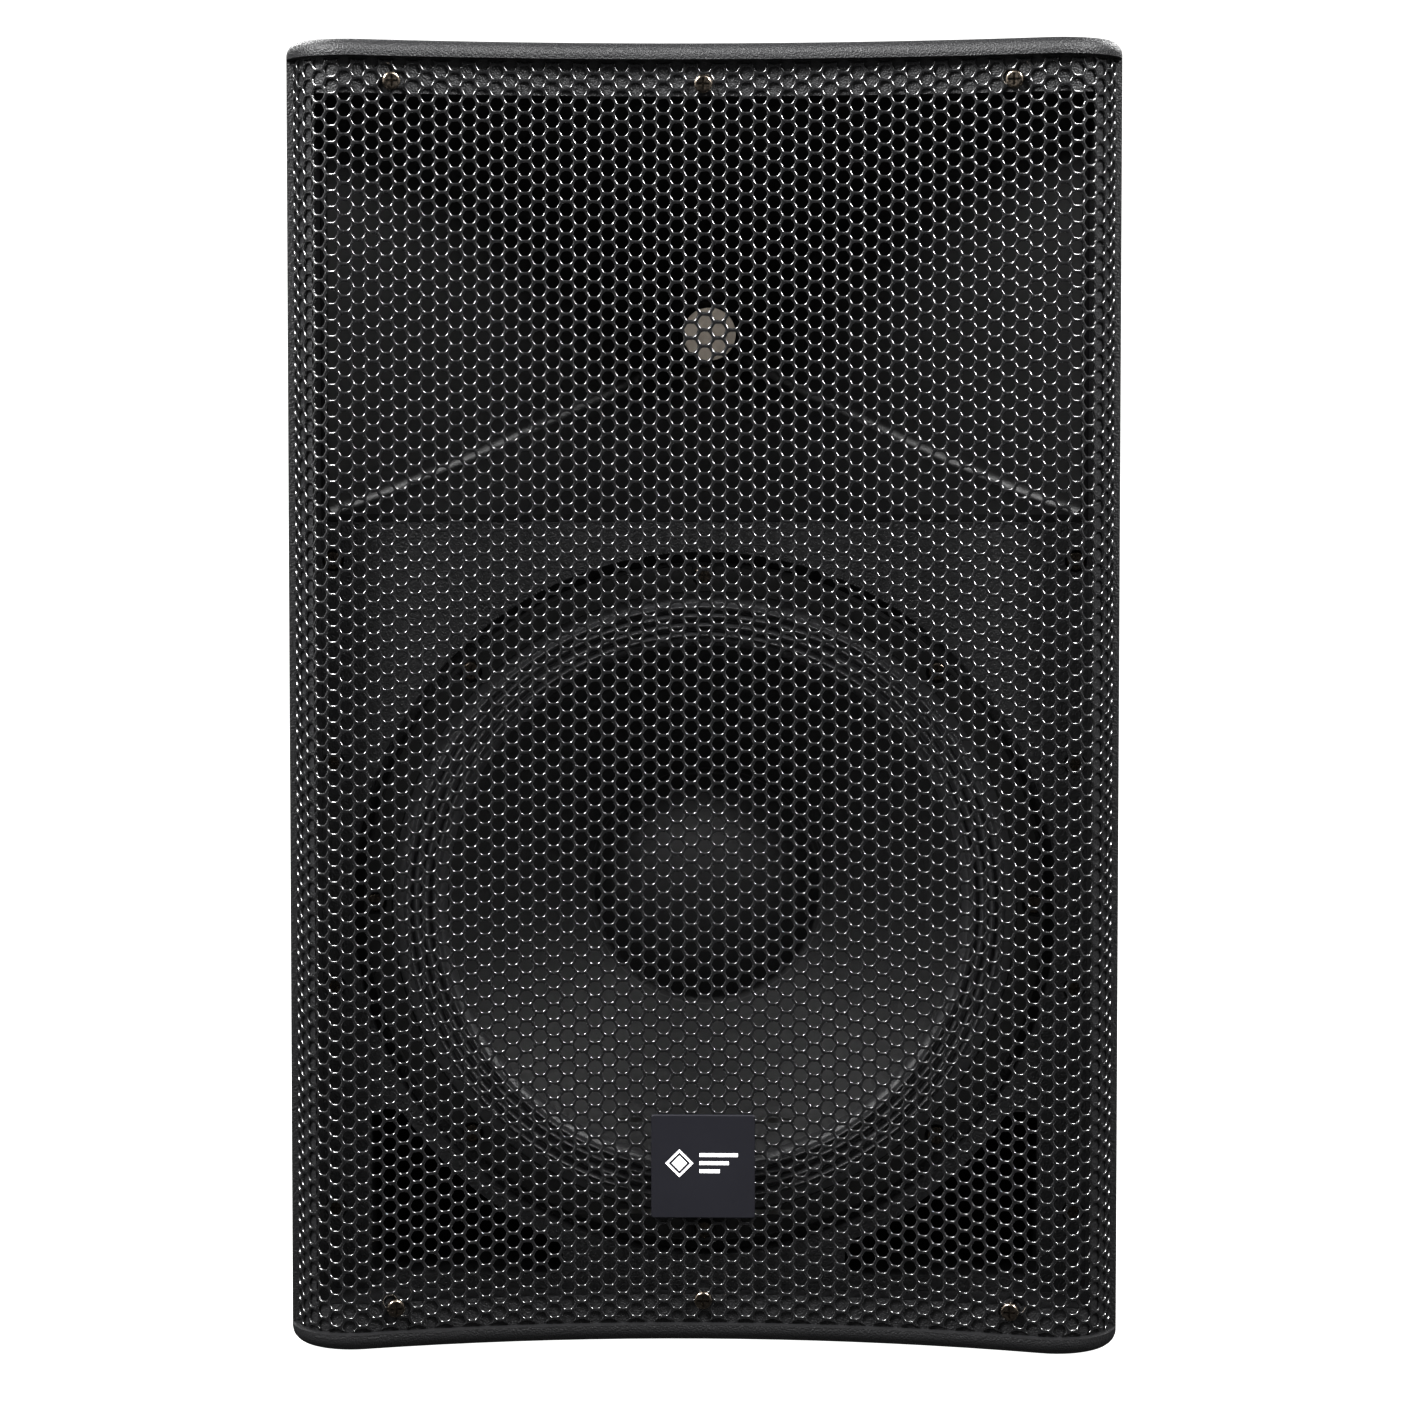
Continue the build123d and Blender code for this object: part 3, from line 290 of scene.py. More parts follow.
# %% Moulded plastic
def moulding(name, colour, dull, pebble_mm, depth_mm, specular=0.5):
    material, tree, shader, place = start_finish(name, specular=specular)
    feeds = {"Vector": place, "Scale": 1 / (pebble_mm * MM), "Smoothness": 0.6}
    cells = step(tree, "ShaderNodeTexVoronoi", feeds, feature="SMOOTH_F1").outputs["Distance"]
    fine = noise(tree, place, pebble_mm * 0.35)
    blotch = noise(tree, place, 60.0)
    tint = between(tree, blotch, shade(colour, 0.85), shade(colour, 1.2))
    cover(tree, shader, tint, spread(tree, fine, dull - 0.06, dull + 0.08))
    height = sums(tree, "MULTIPLY_ADD", fine, 0.35, cells)
    raise_surface(tree, shader, height, depth_mm)
    return material


moulding("moulded_black", (0.0075, 0.0075, 0.008), 0.48, 0.75, 0.3, specular=0.3)
moulding("horn_black", (0.0034, 0.0034, 0.0036), 0.42, 0.5, 0.03, specular=0.27)
moulding("socket_black", (0.02, 0.02, 0.021), 0.3, 0.6, 0.01)
moulding("inlet_black", (0.016, 0.016, 0.017), 0.4, 0.5, 0.02)
moulding("driver_black", (0.02, 0.02, 0.02), 0.3, 0.8, 0.02)
moulding("phase_plastic", (0.1, 0.1, 0.1), 0.4, 0.6, 0.02)
moulding("rocker_black", (0.014, 0.014, 0.015), 0.18, 1.2, 0.005)
moulding("button_grey", (0.16, 0.16, 0.165), 0.45, 0.4, 0.01)
print("moulded plastics made")

# %% [markdown]
# ## Coated and bare metal
# Powder coat is paint melted onto steel: glossy from afar, with an orange-peel ripple close by. On the
# grille it thins at every punched edge, so that finish also reads an attribute called edge_wear, which the
# mesh of the grille carries. Bare metals are stretched noise along one axis, which looks brushed.

# %% Metals
def powder_coat(name, colour, dull, ripple_mm, depth_mm, metallic=0.0, worn=None, specular=0.5):
    material, tree, shader, place = start_finish(name, metallic=metallic, specular=specular)
    ripple = noise(tree, place, ripple_mm, detail=4.0)
    tint = between(tree, noise(tree, place, 25.0), shade(colour, 0.85), shade(colour, 1.2))
    if worn is not None:
        wear = step(tree, "ShaderNodeAttribute", attribute_name="edge_wear").outputs["Fac"]
        patchy = sums(tree, "MULTIPLY", wear, noise(tree, place, 3.0))
        tint = between(tree, patchy, tint, worn)
    cover(tree, shader, tint, spread(tree, ripple, dull - 0.06, dull + 0.1))
    raise_surface(tree, shader, ripple, depth_mm)
    return material


def brushed(name, colour, dull, grain_mm=0.25, stretch=(30, 1, 1)):
    material, tree, shader, place = start_finish(name, metallic=1.0)
    mapping = step(tree, "ShaderNodeMapping", {"Vector": place, "Scale": tuple(1 / s for s in stretch)})
    lines = noise(tree, mapping.outputs["Vector"], grain_mm, detail=2.0)
    tint = between(tree, lines, shade(colour, 0.8), shade(colour, 1.1))
    cover(tree, shader, tint, spread(tree, lines, dull - 0.08, dull + 0.12))
    raise_surface(tree, shader, lines, 0.01)
    return material


grille_steel = powder_coat("grille_steel", (0.0035, 0.0035, 0.0038), 0.2, 0.9, 0.003,
                           worn=(0.01, 0.01, 0.0105), specular=1.0)
powder_coat("basket_black", (0.012, 0.012, 0.0125), 0.45, 0.5, 0.05)
powder_coat("panel_black", (0.018, 0.018, 0.019), 0.5, 0.35, 0.04)
powder_coat("screw_black", (0.2, 0.17, 0.14), 0.24, 1.0, 0.002, metallic=1.0)
powder_coat("badge_plate", (0.0065, 0.0065, 0.009), 0.5, 0.4, 0.004, specular=0.2)
brushed("clip_steel", (0.22, 0.22, 0.21), 0.35, 0.2)
brushed("zinc_steel", (0.55, 0.54, 0.5), 0.35)
brushed("titanium", (0.5, 0.49, 0.47), 0.3, 0.3, (1, 1, 1))
brushed("heatsink_black", (0.03, 0.03, 0.032), 0.45, 0.2, (1, 1, 30))
brushed("control_body", (0.5, 0.5, 0.5), 0.35)
brushed("contact_nickel", (0.72, 0.7, 0.64), 0.2, 0.3, (1, 1, 1))
brushed("latch_metal", (0.5, 0.5, 0.48), 0.35)
brushed("insert_steel", (0.5, 0.5, 0.48), 0.35)
powder_coat("ferrite", (0.05, 0.05, 0.052), 0.6, 0.8, 0.05)
print("metals made")

# %% [markdown]
# ## Paper, cloth and rubber
# The cone is pressed paper pulp, coated black: long soft fibres in every direction. Its edge is cloth with a
# sticky dope on it, so the weave shows under a sheen. Rubber is darker and duller than any plastic.

# %% Paper, cloth and rubber
def pulp(name, colour, fibre_mm, depth_mm, dull=0.7, specular=0.4):
    material, tree, shader, place = start_finish(name, specular=specular)
    feeds = {"Vector": place, "Scale": 1 / (fibre_mm * 3 * MM), "Detail": 2.0}
    bent = step(tree, "ShaderNodeTexNoise", feeds).outputs["Color"]
    pulled = vectors(tree, "MULTIPLY_ADD", bent, (0.004, 0.004, 0.004), place)
    fibres = noise(tree, pulled, fibre_mm, detail=6.0, roughness=0.65)
    tint = between(tree, fibres, shade(colour, 0.7), shade(colour, 1.5))
    cover(tree, shader, tint, spread(tree, fibres, dull - 0.12, dull + 0.12))
    raise_surface(tree, shader, fibres, depth_mm)
    return material


def woven(name, colour, thread_mm, depth_mm, dull=0.6, contrast=0.5):
    """Threads along X and Z: two sets of bands, and the higher one shows."""
    material, tree, shader, place = start_finish(name)
    bands = []
    for direction in ("X", "Z"):
        feeds = {"Vector": place, "Scale": 0.314 / (thread_mm * MM), "Distortion": 0.3, "Detail": 1.0}
        wave = step(tree, "ShaderNodeTexWave", feeds, bands_direction=direction)
        bands.append(wave.outputs["Fac"])
    weave = sums(tree, "MAXIMUM", *bands)
    cover(tree, shader, between(tree, weave, shade(colour, 1 - contrast), shade(colour, 1.15)), dull)
    raise_surface(tree, shader, weave, depth_mm)
    return material


def rubber(name, colour, dull):
    material, tree, shader, place = start_finish(name, specular=0.35)
    fine = noise(tree, place, 0.4)
    dust = noise(tree, place, 9.0, detail=5.0)
    tint = between(tree, dust, colour, shade(colour, 1.7))
    cover(tree, shader, tint, spread(tree, dust, dull - 0.08, dull + 0.1))
    raise_surface(tree, shader, fine, 0.03)
    return material


cone_paper = pulp("cone_paper", (0.0062, 0.0062, 0.0065), 0.7, 0.2, 0.55, specular=0.28)
cap_paper = pulp("cap_paper", (0.0085, 0.0085, 0.009), 0.5, 0.14, 0.5)
cloth_edge = woven("cloth_edge", (0.02, 0.02, 0.021), 0.5, 0.05, 0.38, 0.35)
spider_cloth = woven("spider_cloth", (0.5, 0.34, 0.12), 0.6, 0.12, 0.6)
throat_mesh = woven("throat_mesh", (0.56, 0.5, 0.43), 0.35, 0.1, 0.7, 0.45)
pulp("gasket_grey", (0.005, 0.005, 0.005), 0.5, 0.08, 0.85, specular=0.08)
rubber("knob_black", (0.018, 0.018, 0.018), 0.55)
handle_rubber = rubber("handle_rubber", (0.02, 0.02, 0.02), 0.6)
rubber_black = rubber("rubber_black", (0.014, 0.014, 0.014), 0.7)
print("paper, cloth and rubber made")

# %% [markdown]
# ## Electronics
# What sits inside and on the rear panel needs its own looks: green boards with copper tracks, coils with a
# thread of wire, taped iron, and lenses. The tracks are a brick pattern and the wire is a wave.

# %% Electronics
def circuit_board(name):
    material, tree, shader, place = start_finish(name, coat=0.6)
    feeds = {"Vector": place, "Scale": 120.0, "Mortar Size": 0.04, "Mortar": (0.03, 0.2, 0.07, 1),
             "Color1": (0.01, 0.1, 0.035, 1), "Color2": (0.008, 0.085, 0.03, 1)}
    tracks = step(tree, "ShaderNodeTexBrick", feeds)
    cover(tree, shader, tracks.outputs["Color"], 0.4)
    raise_surface(tree, shader, tracks.outputs["Fac"], 0.03)
    return material


def winding(name, colour, wire_mm, direction, metallic=1.0):
    material, tree, shader, place = start_finish(name, metallic=metallic, coat=0.5)
    feeds = {"Vector": place, "Scale": 0.314 / (wire_mm * MM), "Distortion": 0.2, "Detail": 1.0}
    turns = step(tree, "ShaderNodeTexWave", feeds, bands_direction=direction).outputs["Fac"]
    cover(tree, shader, between(tree, turns, shade(colour, 0.45), colour), 0.3)
    raise_surface(tree, shader, turns, wire_mm * 0.4)
    return material


def lens(name, left, right, split_x):
    """Clear coloured plastic: one colour left of split_x and another right of it."""
    material, tree, shader, place = start_finish(name, coat=1.0)
    across = step(tree, "ShaderNodeSeparateXYZ", {"Vector": place}).outputs["X"]
    side = sums(tree, "GREATER_THAN", across, split_x)
    swirl = noise(tree, place, 2.0)
    cover(tree, shader, between(tree, side, left, right), spread(tree, swirl, 0.12, 0.25))
    shader.inputs["Transmission Weight"].default_value = 0.4
    return material


def printed(name, colour):
    material, tree, shader, place = start_finish(name)
    edge = noise(tree, place, 0.6)
    cover(tree, shader, between(tree, edge, shade(colour, 0.85), colour), spread(tree, edge, 0.45, 0.6))
    return material


circuit_board("circuit_green")
winding("coil_copper", (0.62, 0.3, 0.14), 0.35, "Y")
winding("inductor_copper", (0.62, 0.31, 0.14), 1.1, "Z")
winding("transformer_tape", (0.5, 0.38, 0.07), 9.0, "Y", 0.0)
moulding("capacitor_film", (0.5, 0.42, 0.06), 0.3, 2.0, 0.01)
moulding("component_black", (0.02, 0.02, 0.03), 0.3, 2.0, 0.01)
pulp("terminal_board", (0.2, 0.11, 0.05), 0.6, 0.04)
lens("led_lens", (0.05, 0.5, 0.08), (0.55, 0.03, 0.02), middle_of("led_lenses")[0][0])
legend_white = printed("legend_white", (0.72, 0.72, 0.7))
badge_ink = printed("badge_ink", (0.8, 0.8, 0.8))
print("electronics made")

# %% [markdown]
# ## Finishes for the CAD nodes
# A CAD node keeps its shape and only changes its finish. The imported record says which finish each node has
# by the name of its slot, and the finishes above have the same names, so one loop dresses them all.

# %% Dress the CAD nodes
slot_of = {row["node"]: row["material_slot"] for row in frame["record"]["subparts"]}
for node_name, slot_name in slot_of.items():
    mesh = nodes[node_name].data
    mesh.materials.clear()
    mesh.materials.append(bpy.data.materials[slot_name])
for stand_in in stand_ins:
    if stand_in.users == 0:
        bpy.data.materials.remove(stand_in)
print("dressed", len(slot_of), "nodes with", len(set(slot_of.values())), "finishes")

# %% [markdown]
# ## Shapes that repeat: a small kit for Geometry Nodes
# A tree is a recipe with named inputs. It is run once on an empty object, and what comes out is kept as a
# plain mesh, so nothing live is left on the piece.

# %% Geometry Nodes helpers
def new_tree(name, inputs):
    """A tree with named inputs, given as kind: names, and one shape as its output."""
    tree = bpy.data.node_groups.new(name, "GeometryNodeTree")
    tree.interface.new_socket("Shape", in_out="OUTPUT", socket_type="NodeSocketGeometry")
    for kind, labels in inputs.items():
        for label in labels:
            tree.interface.new_socket(label, in_out="INPUT", socket_type="NodeSocket" + kind)
    return tree, tree.nodes.new("NodeGroupInput").outputs


def shape_of(tree, helper):
    return step(tree, "GeometryNodeObjectInfo", {"Object": helper}).outputs["Geometry"]


def spot_at(tree, x=0.0, y=0.0, z=0.0):
    return step(tree, "ShaderNodeCombineXYZ", {"X": x, "Y": y, "Z": z}).outputs[0]


def moved(tree, shape, spot):
    return step(tree, "GeometryNodeSetPosition", {"Geometry": shape, "Position": spot}).outputs[0]


def position(tree):
    """The X, Y and Z of each point."""
    here = step(tree, "GeometryNodeInputPosition").outputs[0]
    return step(tree, "ShaderNodeSeparateXYZ", {"Vector": here}).outputs


def welded(tree, shape, gap):
    return step(tree, "GeometryNodeMergeByDistance", {"Geometry": shape, "Distance": gap}).outputs[0]


def repeated(tree, points, shape):
    return step(tree, "GeometryNodeInstanceOnPoints", {"Points": points, "Instance": shape}).outputs[0]


def close_tree(tree, shape, material):
    """The end of every tree: instances made real, a material, and the output."""
    real = step(tree, "GeometryNodeRealizeInstances", {"Geometry": shape}).outputs["Geometry"]
    painted = step(tree, "GeometryNodeSetMaterial", {"Geometry": real, "Material": material})
    step(tree, "NodeGroupOutput", {"Shape": painted.outputs["Geometry"]})


def run_tree(name, tree, values):
    """Runs a tree on an empty object and keeps the result as a plain mesh."""
    piece = in_scene(name, bpy.data.meshes.new(name))
    recipe = piece.modifiers.new("recipe", "NODES")
    recipe.node_group = tree
    for socket in tree.interface.items_tree:
        if socket.in_out == "INPUT" and socket.name in values:
            recipe[socket.identifier] = values[socket.name]
    graph = bpy.context.evaluated_depsgraph_get()
    made = bpy.data.meshes.new_from_object(piece.evaluated_get(graph))
    piece.modifiers.clear()
    piece.data = made
    made.name = name
    triangles = sum(len(face.vertices) - 2 for face in made.polygons)
    print(name, "has", triangles, "triangles")
    return piece


def mesh_from(name, shape, sharp_degrees=35):
    """Finishes a bmesh: faces outwards, smooth, with sharp edges kept."""
    bmesh.ops.recalc_face_normals(shape, faces=shape.faces)
    for face in shape.faces:
        face.smooth = True
    mesh = bpy.data.meshes.new(name)
    shape.to_mesh(mesh)
    shape.free()
    mesh.set_sharp_from_angle(angle=math.radians(sharp_degrees))
    return mesh


def place_piece(name, mesh, material, body, *stands_for):
    """Links a finished mesh as a piece that rides on a body and may stand for CAD nodes."""
    piece = in_scene(name, mesh)
    mesh.materials.append(material)
    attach(piece, body)
    if stands_for:
        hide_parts(*stands_for)
    return piece


# %% [markdown]
# ## The perforated sheet
# The real sheet is punched flat and then bent: a shallow concave curve across the middle and a tight bend at
# each side. The same order works here. One cell, a hexagon with a hexagonal hole and a small bevel round it,
# is repeated on a staggered lattice. Cells that stick out past the sheet's edge are pressed back onto it,
# which cuts the last holes in half as the shears do. Then the sheet gets its thickness, and last it is
# wrapped round a line that has the plan of the grille. Modelling each hole, or cutting 5000 of them, would
# take far longer.

# %% One cell of the grille
HOLE_PITCH = 7.0 * MM
COLUMN_PITCH = HOLE_PITCH * math.sqrt(3) / 2
HOLE_FLATS = 5.5 * MM
HOLE_BEVEL = 0.38 * MM
CORNER_CUT = 9.0


def hexagon_point(radius, degrees, depth):
    turn = math.radians(degrees)
    return (radius * math.cos(turn), depth, radius * math.sin(turn))


def hole_ring(shape, flats, depth):
    """Twelve points: a hexagon with its corners cut."""
    radius = flats / 2 / math.cos(math.radians(30 - CORNER_CUT))
    turns = [60 * i + side * CORNER_CUT for i in range(6) for side in (-1, 1)]
    return [shape.verts.new(hexagon_point(radius, turn, depth)) for turn in turns]


def grille_cell():
    shape = bmesh.new()
    rim = [shape.verts.new(hexagon_point(HOLE_PITCH / math.sqrt(3), 60 * i, 0)) for i in range(6)]
    face_ring = hole_ring(shape, HOLE_FLATS + 2 * HOLE_BEVEL, 0)
    hole = hole_ring(shape, HOLE_FLATS, HOLE_BEVEL)
    for i in range(6):
        after = (i + 1) % 6
        shape.faces.new((rim[i], face_ring[2 * i + 1], face_ring[2 * i]))
        shape.faces.new((rim[i], rim[after], face_ring[2 * after], face_ring[2 * i + 1]))
    for i in range(12):
        after = (i + 1) % 12
        shape.faces.new((face_ring[i], face_ring[after], hole[after], hole[i]))
    for face in shape.faces:
        if face.normal.y > 0:
            face.normal_flip()
    mesh = bpy.data.meshes.new("grille_cell")
    shape.to_mesh(mesh)
    shape.free()
    wear = mesh.attributes.new("edge_wear", "FLOAT", "POINT")
    for i, point in enumerate(mesh.vertices):
        wear.data[i].value = 0.0 if i < 6 else 1.0
    return mesh


cell = in_scene("grille_cell", grille_cell())
print("one cell has", len(cell.data.polygons), "faces")

# %% [markdown]
# The plan line comes from the frame: the sheet's foremost point is the outside of the tight bend, and the
# three arcs touch each other smoothly, so the rest follows from their radii.

# %% The line that the sheet follows
SHEET_ARC = 540.0 * MM
SHEET_BEND = 25.0 * MM
BEND_X = 155.5 * MM
BEND_WRAP = math.radians(80)
PATH_STEPS = 96
SHEET_SHARP = 75.0
SHEET_THICKNESS = 1.2 * MM

sheet_low, sheet_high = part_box("grille")
bend_centre_y = sheet_low.y + SHEET_BEND
arc_centre_y = bend_centre_y - math.sqrt((SHEET_ARC + SHEET_BEND) ** 2 - BEND_X ** 2)
lean = math.asin(BEND_X / (SHEET_ARC + SHEET_BEND))
arc_half = SHEET_ARC * lean
sheet_half = arc_half + SHEET_BEND * (BEND_WRAP + lean)


def sheet_point(along):
    """The point of the plan line at a distance along it from the middle."""
    side = math.copysign(1, along)
    away = abs(along)
    if away <= arc_half:
        turn = away / SHEET_ARC
        return (side * SHEET_ARC * math.sin(turn), arc_centre_y + SHEET_ARC * math.cos(turn), 0)
    turn = (away - arc_half) / SHEET_BEND - lean
    return (side * (BEND_X + SHEET_BEND * math.sin(turn)), bend_centre_y - SHEET_BEND * math.cos(turn), 0)


def path_object():
    line = bpy.data.curves.new("sheet_line", "CURVE")
    line.dimensions = "3D"
    run = line.splines.new("POLY")
    run.points.add(2 * PATH_STEPS)
    for i, point in enumerate(run.points):
        point.co = (*sheet_point(sheet_half * (i - PATH_STEPS) / PATH_STEPS), 1)
    return in_scene("sheet_line", line)


sheet_line = path_object()
print("the flat sheet is", round(2000 * sheet_half), "mm wide")

# %% [markdown]
# The tree follows the press shop: it lays out the cells in columns and rows, trims the sheet, gives it its
# thickness, and bends it last. Every size is an input, so one tree makes a sheet of any width and pitch.

# %% The tree that punches and bends the sheet
def punched_sheet_tree():
    tree, given = new_tree("punched sheet", {
        "Object": ("Cell", "Line"), "Int": ("First Column", "Columns", "Rows"), "Material": ("Finish",),
        "Float": ("Column Pitch", "Hole Pitch", "First Row Height", "Offset", "Half Width", "Low Edge",
                  "High Edge", "Thickness")})
    index = step(tree, "GeometryNodeInputIndex").outputs[0]
    column = sums(tree, "FLOOR", sums(tree, "DIVIDE", index, given["Rows"]))
    row = sums(tree, "SUBTRACT", index, sums(tree, "MULTIPLY", column, given["Rows"]))
    column = sums(tree, "ADD", column, given["First Column"])
    stagger = sums(tree, "MULTIPLY", sums(tree, "FLOORED_MODULO", column, 2.0), 0.5)
    across = sums(tree, "MULTIPLY_ADD", column, given["Column Pitch"], given["Offset"])
    row = sums(tree, "ADD", row, stagger)
    up = sums(tree, "MULTIPLY_ADD", row, given["Hole Pitch"], given["First Row Height"])
    total = sums(tree, "MULTIPLY", given["Columns"], given["Rows"])
    points = step(tree, "GeometryNodeMeshLine", {"Count": total}).outputs["Mesh"]
    lattice = moved(tree, points, spot_at(tree, across, 0.0, up))
    cells = repeated(tree, lattice, shape_of(tree, given["Cell"]))
    flat = step(tree, "GeometryNodeRealizeInstances", {"Geometry": cells}).outputs[0]
    cut = trimmed(tree, welded(tree, flat, 0.01 * MM), given)
    thick = thickened(tree, cut, given["Thickness"])
    bent = wrapped(tree, thick, given)
    close_tree(tree, sharpened(tree, bent), given["Finish"])
    return tree


def trimmed(tree, flat, given):
    """Presses what lies past the sheet's edges onto them, and drops the faces that this flattens."""
    x, y, z = position(tree)
    half, low, high = given["Half Width"], given["Low Edge"], given["High Edge"]
    left = sums(tree, "MULTIPLY", half, -1.0)
    across = sums(tree, "MINIMUM", sums(tree, "MAXIMUM", x, left), half)
    up = sums(tree, "MINIMUM", sums(tree, "MAXIMUM", z, low), high)
    pressed = moved(tree, flat, spot_at(tree, across, y, up))
    hair = 0.002 * MM
    lost = sums(tree, "LESS_THAN", x, sums(tree, "ADD", left, hair))
    for test in (sums(tree, "GREATER_THAN", x, sums(tree, "SUBTRACT", half, hair)),
                 sums(tree, "LESS_THAN", z, sums(tree, "ADD", low, hair)),
                 sums(tree, "GREATER_THAN", z, sums(tree, "SUBTRACT", high, hair))):
        lost = sums(tree, "MAXIMUM", lost, test)
    feeds = {"Geometry": pressed, "Selection": lost}
    return step(tree, "GeometryNodeDeleteGeometry", feeds, domain="FACE").outputs[0]


def thickened(tree, front, thickness):
    """Adds the back and the holes' walls: the flipped sheet is pulled backwards and welded to the front."""
    back = step(tree, "GeometryNodeFlipFaces", {"Mesh": front}).outputs[0]
    pull = spot_at(tree, 0.0, thickness)
    feeds = {"Mesh": back, "Offset": pull, "Offset Scale": 1.0, "Individual": False}
    pulled = step(tree, "GeometryNodeExtrudeMesh", feeds).outputs["Mesh"]
    both = step(tree, "GeometryNodeJoinGeometry")
    for part in (pulled, front):
        tree.links.new(part, both.inputs[0])
    x, y, z = position(tree)
    level = moved(tree, both.outputs[0], spot_at(tree, x, sums(tree, "MINIMUM", y, thickness), z))
    return welded(tree, level, 0.004 * MM)


def wrapped(tree, flat, given):
    """Lays the flat sheet along the line: X runs along it, and Y goes in behind it."""
    x, y, z = position(tree)
    along = sums(tree, "ADD", x, given["Half Width"])
    feeds = {"Curves": shape_of(tree, given["Line"]), "Length": along}
    line = step(tree, "GeometryNodeSampleCurve", feeds, mode="LENGTH").outputs
    outward = vectors(tree, "CROSS_PRODUCT", line["Tangent"], (0, 0, 1))
    feeds = {0: outward, "Scale": sums(tree, "MULTIPLY", y, -1.0)}
    inward = step(tree, "ShaderNodeVectorMath", feeds, operation="SCALE").outputs[0]
    spot = vectors(tree, "ADD", line["Position"], inward)
    return moved(tree, flat, vectors(tree, "ADD", spot, spot_at(tree, z=z)))


def sharpened(tree, shape):
    """Smooth faces. Only the sheet's own border stays sharp, because paint rounds every edge of a hole."""
    smooth = step(tree, "GeometryNodeSetShadeSmooth", {"Geometry": shape}).outputs[0]
    angle = step(tree, "GeometryNodeInputMeshEdgeAngle").outputs["Unsigned Angle"]
    sharp = sums(tree, "GREATER_THAN", angle, math.radians(SHEET_SHARP))
    feeds = {"Geometry": smooth, "Name": "sharp_edge", "Value": sharp}
    return step(tree, "GeometryNodeStoreNamedAttribute", feeds, data_type="BOOLEAN", domain="EDGE").outputs[0]


sheet_tree = punched_sheet_tree()
print("the sheet's tree has", len(sheet_tree.nodes), "nodes")

# %% [markdown]
# A mesh of more than 200,000 triangles is hard to pass on, so the same tree makes the sheet in four upright
# bands that meet along cell borders. A hole of the middle column sits level with the throat of the horn.

# %% Make the grille in four bands
ANCHOR_HEIGHT = 448.2 * MM
ANCHOR_ACROSS = 0.7 * MM
GRILLE_BANDS = ("grille_far_left", "grille_left", "grille_right", "grille_far_right")

rows_below = math.ceil((ANCHOR_HEIGHT - sheet_low.z) / HOLE_PITCH) + 1
rows_above = math.ceil((sheet_high.z - ANCHOR_HEIGHT) / HOLE_PITCH) + 1
columns_each_side = math.ceil(sheet_half / COLUMN_PITCH)
first_column = -columns_each_side
band_columns = math.ceil((2 * columns_each_side + 1) / len(GRILLE_BANDS))
for band_name in GRILLE_BANDS:
    columns = min(band_columns, columns_each_side + 1 - first_column)
    band = run_tree(band_name, sheet_tree, {
        "Cell": cell, "Line": sheet_line, "First Column": first_column, "Columns": columns,
        "Rows": rows_below + rows_above + 1, "Column Pitch": COLUMN_PITCH, "Hole Pitch": HOLE_PITCH,
        "First Row Height": ANCHOR_HEIGHT - rows_below * HOLE_PITCH, "Offset": ANCHOR_ACROSS,
        "Half Width": sheet_half, "Low Edge": sheet_low.z, "High Edge": sheet_high.z,
        "Thickness": SHEET_THICKNESS, "Finish": grille_steel})
    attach(band, "cabinet")
    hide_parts("grille")
    first_column += columns
for helper in (cell, sheet_line):
    bpy.data.objects.remove(helper)

# %% [markdown]
# ## Round parts of the woofer
# A woofer's cone, edge, dust cap and spider are all turned shapes, so one function sweeps a closed section
# round the driver's axis. A lathe needs only the section: the accordion edge is a sine wave between the
# frame and the cone, and the cone is a slightly curved line with shallow pressed rings.

# %% A lathe
def turned(name, section, height, segments=144, sharp_degrees=35):
    """Sweeps a closed section of (radius, y) points round the Y axis at a height."""
    shape = bmesh.new()
    rings = []
    for radius, y in section:
        count = 1 if radius < 1e-6 else segments
        turns = [2 * math.pi * i / count for i in range(count)]
        ring = [(radius * math.sin(turn), y, height + radius * math.cos(turn)) for turn in turns]
        rings.append([shape.verts.new(point) for point in ring])
    for near, far in zip(rings, rings[1:] + rings[:1]):
        for i in range(segments):
            after = (i + 1) % segments
            corners = [near[i % len(near)], near[after % len(near)], far[after % len(far)], far[i % len(far)]]
            corners = list(dict.fromkeys(corners))
            if len(corners) > 2:
                shape.faces.new(corners)
    return mesh_from(name, shape, sharp_degrees)


def skin(line, thickness):
    """A closed section from an open line and a thickness towards the back."""
    return line + [(radius, y + thickness) for radius, y in reversed(line)]


cone_low, cone_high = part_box("woofer_cone")
cone_middle, cone_radius = middle_of("woofer_cone")
woofer_height = cone_middle[2]
print("woofer axis at", round(woofer_height * 1000, 1), "mm")

# %% [markdown]
# The cone is pressed paper, slightly curved from its neck to its rim, with three shallow rings that stiffen
# it. The dust cap is a slice of a ball, glued over the coil with a thin bead. Both are turned from a section
# with the thickness of real paper, because a light from above shows the edge of the cap and the rings of the
# cone.

# %% Cone and dust cap
CONE_STEPS = 120
CONE_SKIN = 0.9 * MM
NECK_RADIUS = 33.2 * MM
CONE_CURVE = 1.171
PRESSED_RINGS = (100 * MM, 84 * MM, 68 * MM)
RING_WIDTH = 1.4 * MM
RING_DEPTH = 0.45 * MM
CAP_RADIUS = 52.0 * MM
CAP_RISE = 18.0 * MM
CAP_SINK = 0.6 * MM
CAP_SKIN = 0.8 * MM
CAP_STEPS = 24
GLUE_WIDTH = 3.0 * MM
GLUE_RISE = 0.1 * MM


def cone_depth(radius):
    """How far the cone's face lies behind its rim."""
    share = (cone_radius - radius) / (cone_radius - NECK_RADIUS)
    depth = (cone_high.y - cone_low.y - CONE_SKIN) * (CONE_CURVE * share + (1 - CONE_CURVE) * share ** 2)
    rings = sum(math.exp(-((radius - ring) / RING_WIDTH) ** 2) for ring in PRESSED_RINGS)
    return depth - RING_DEPTH * rings


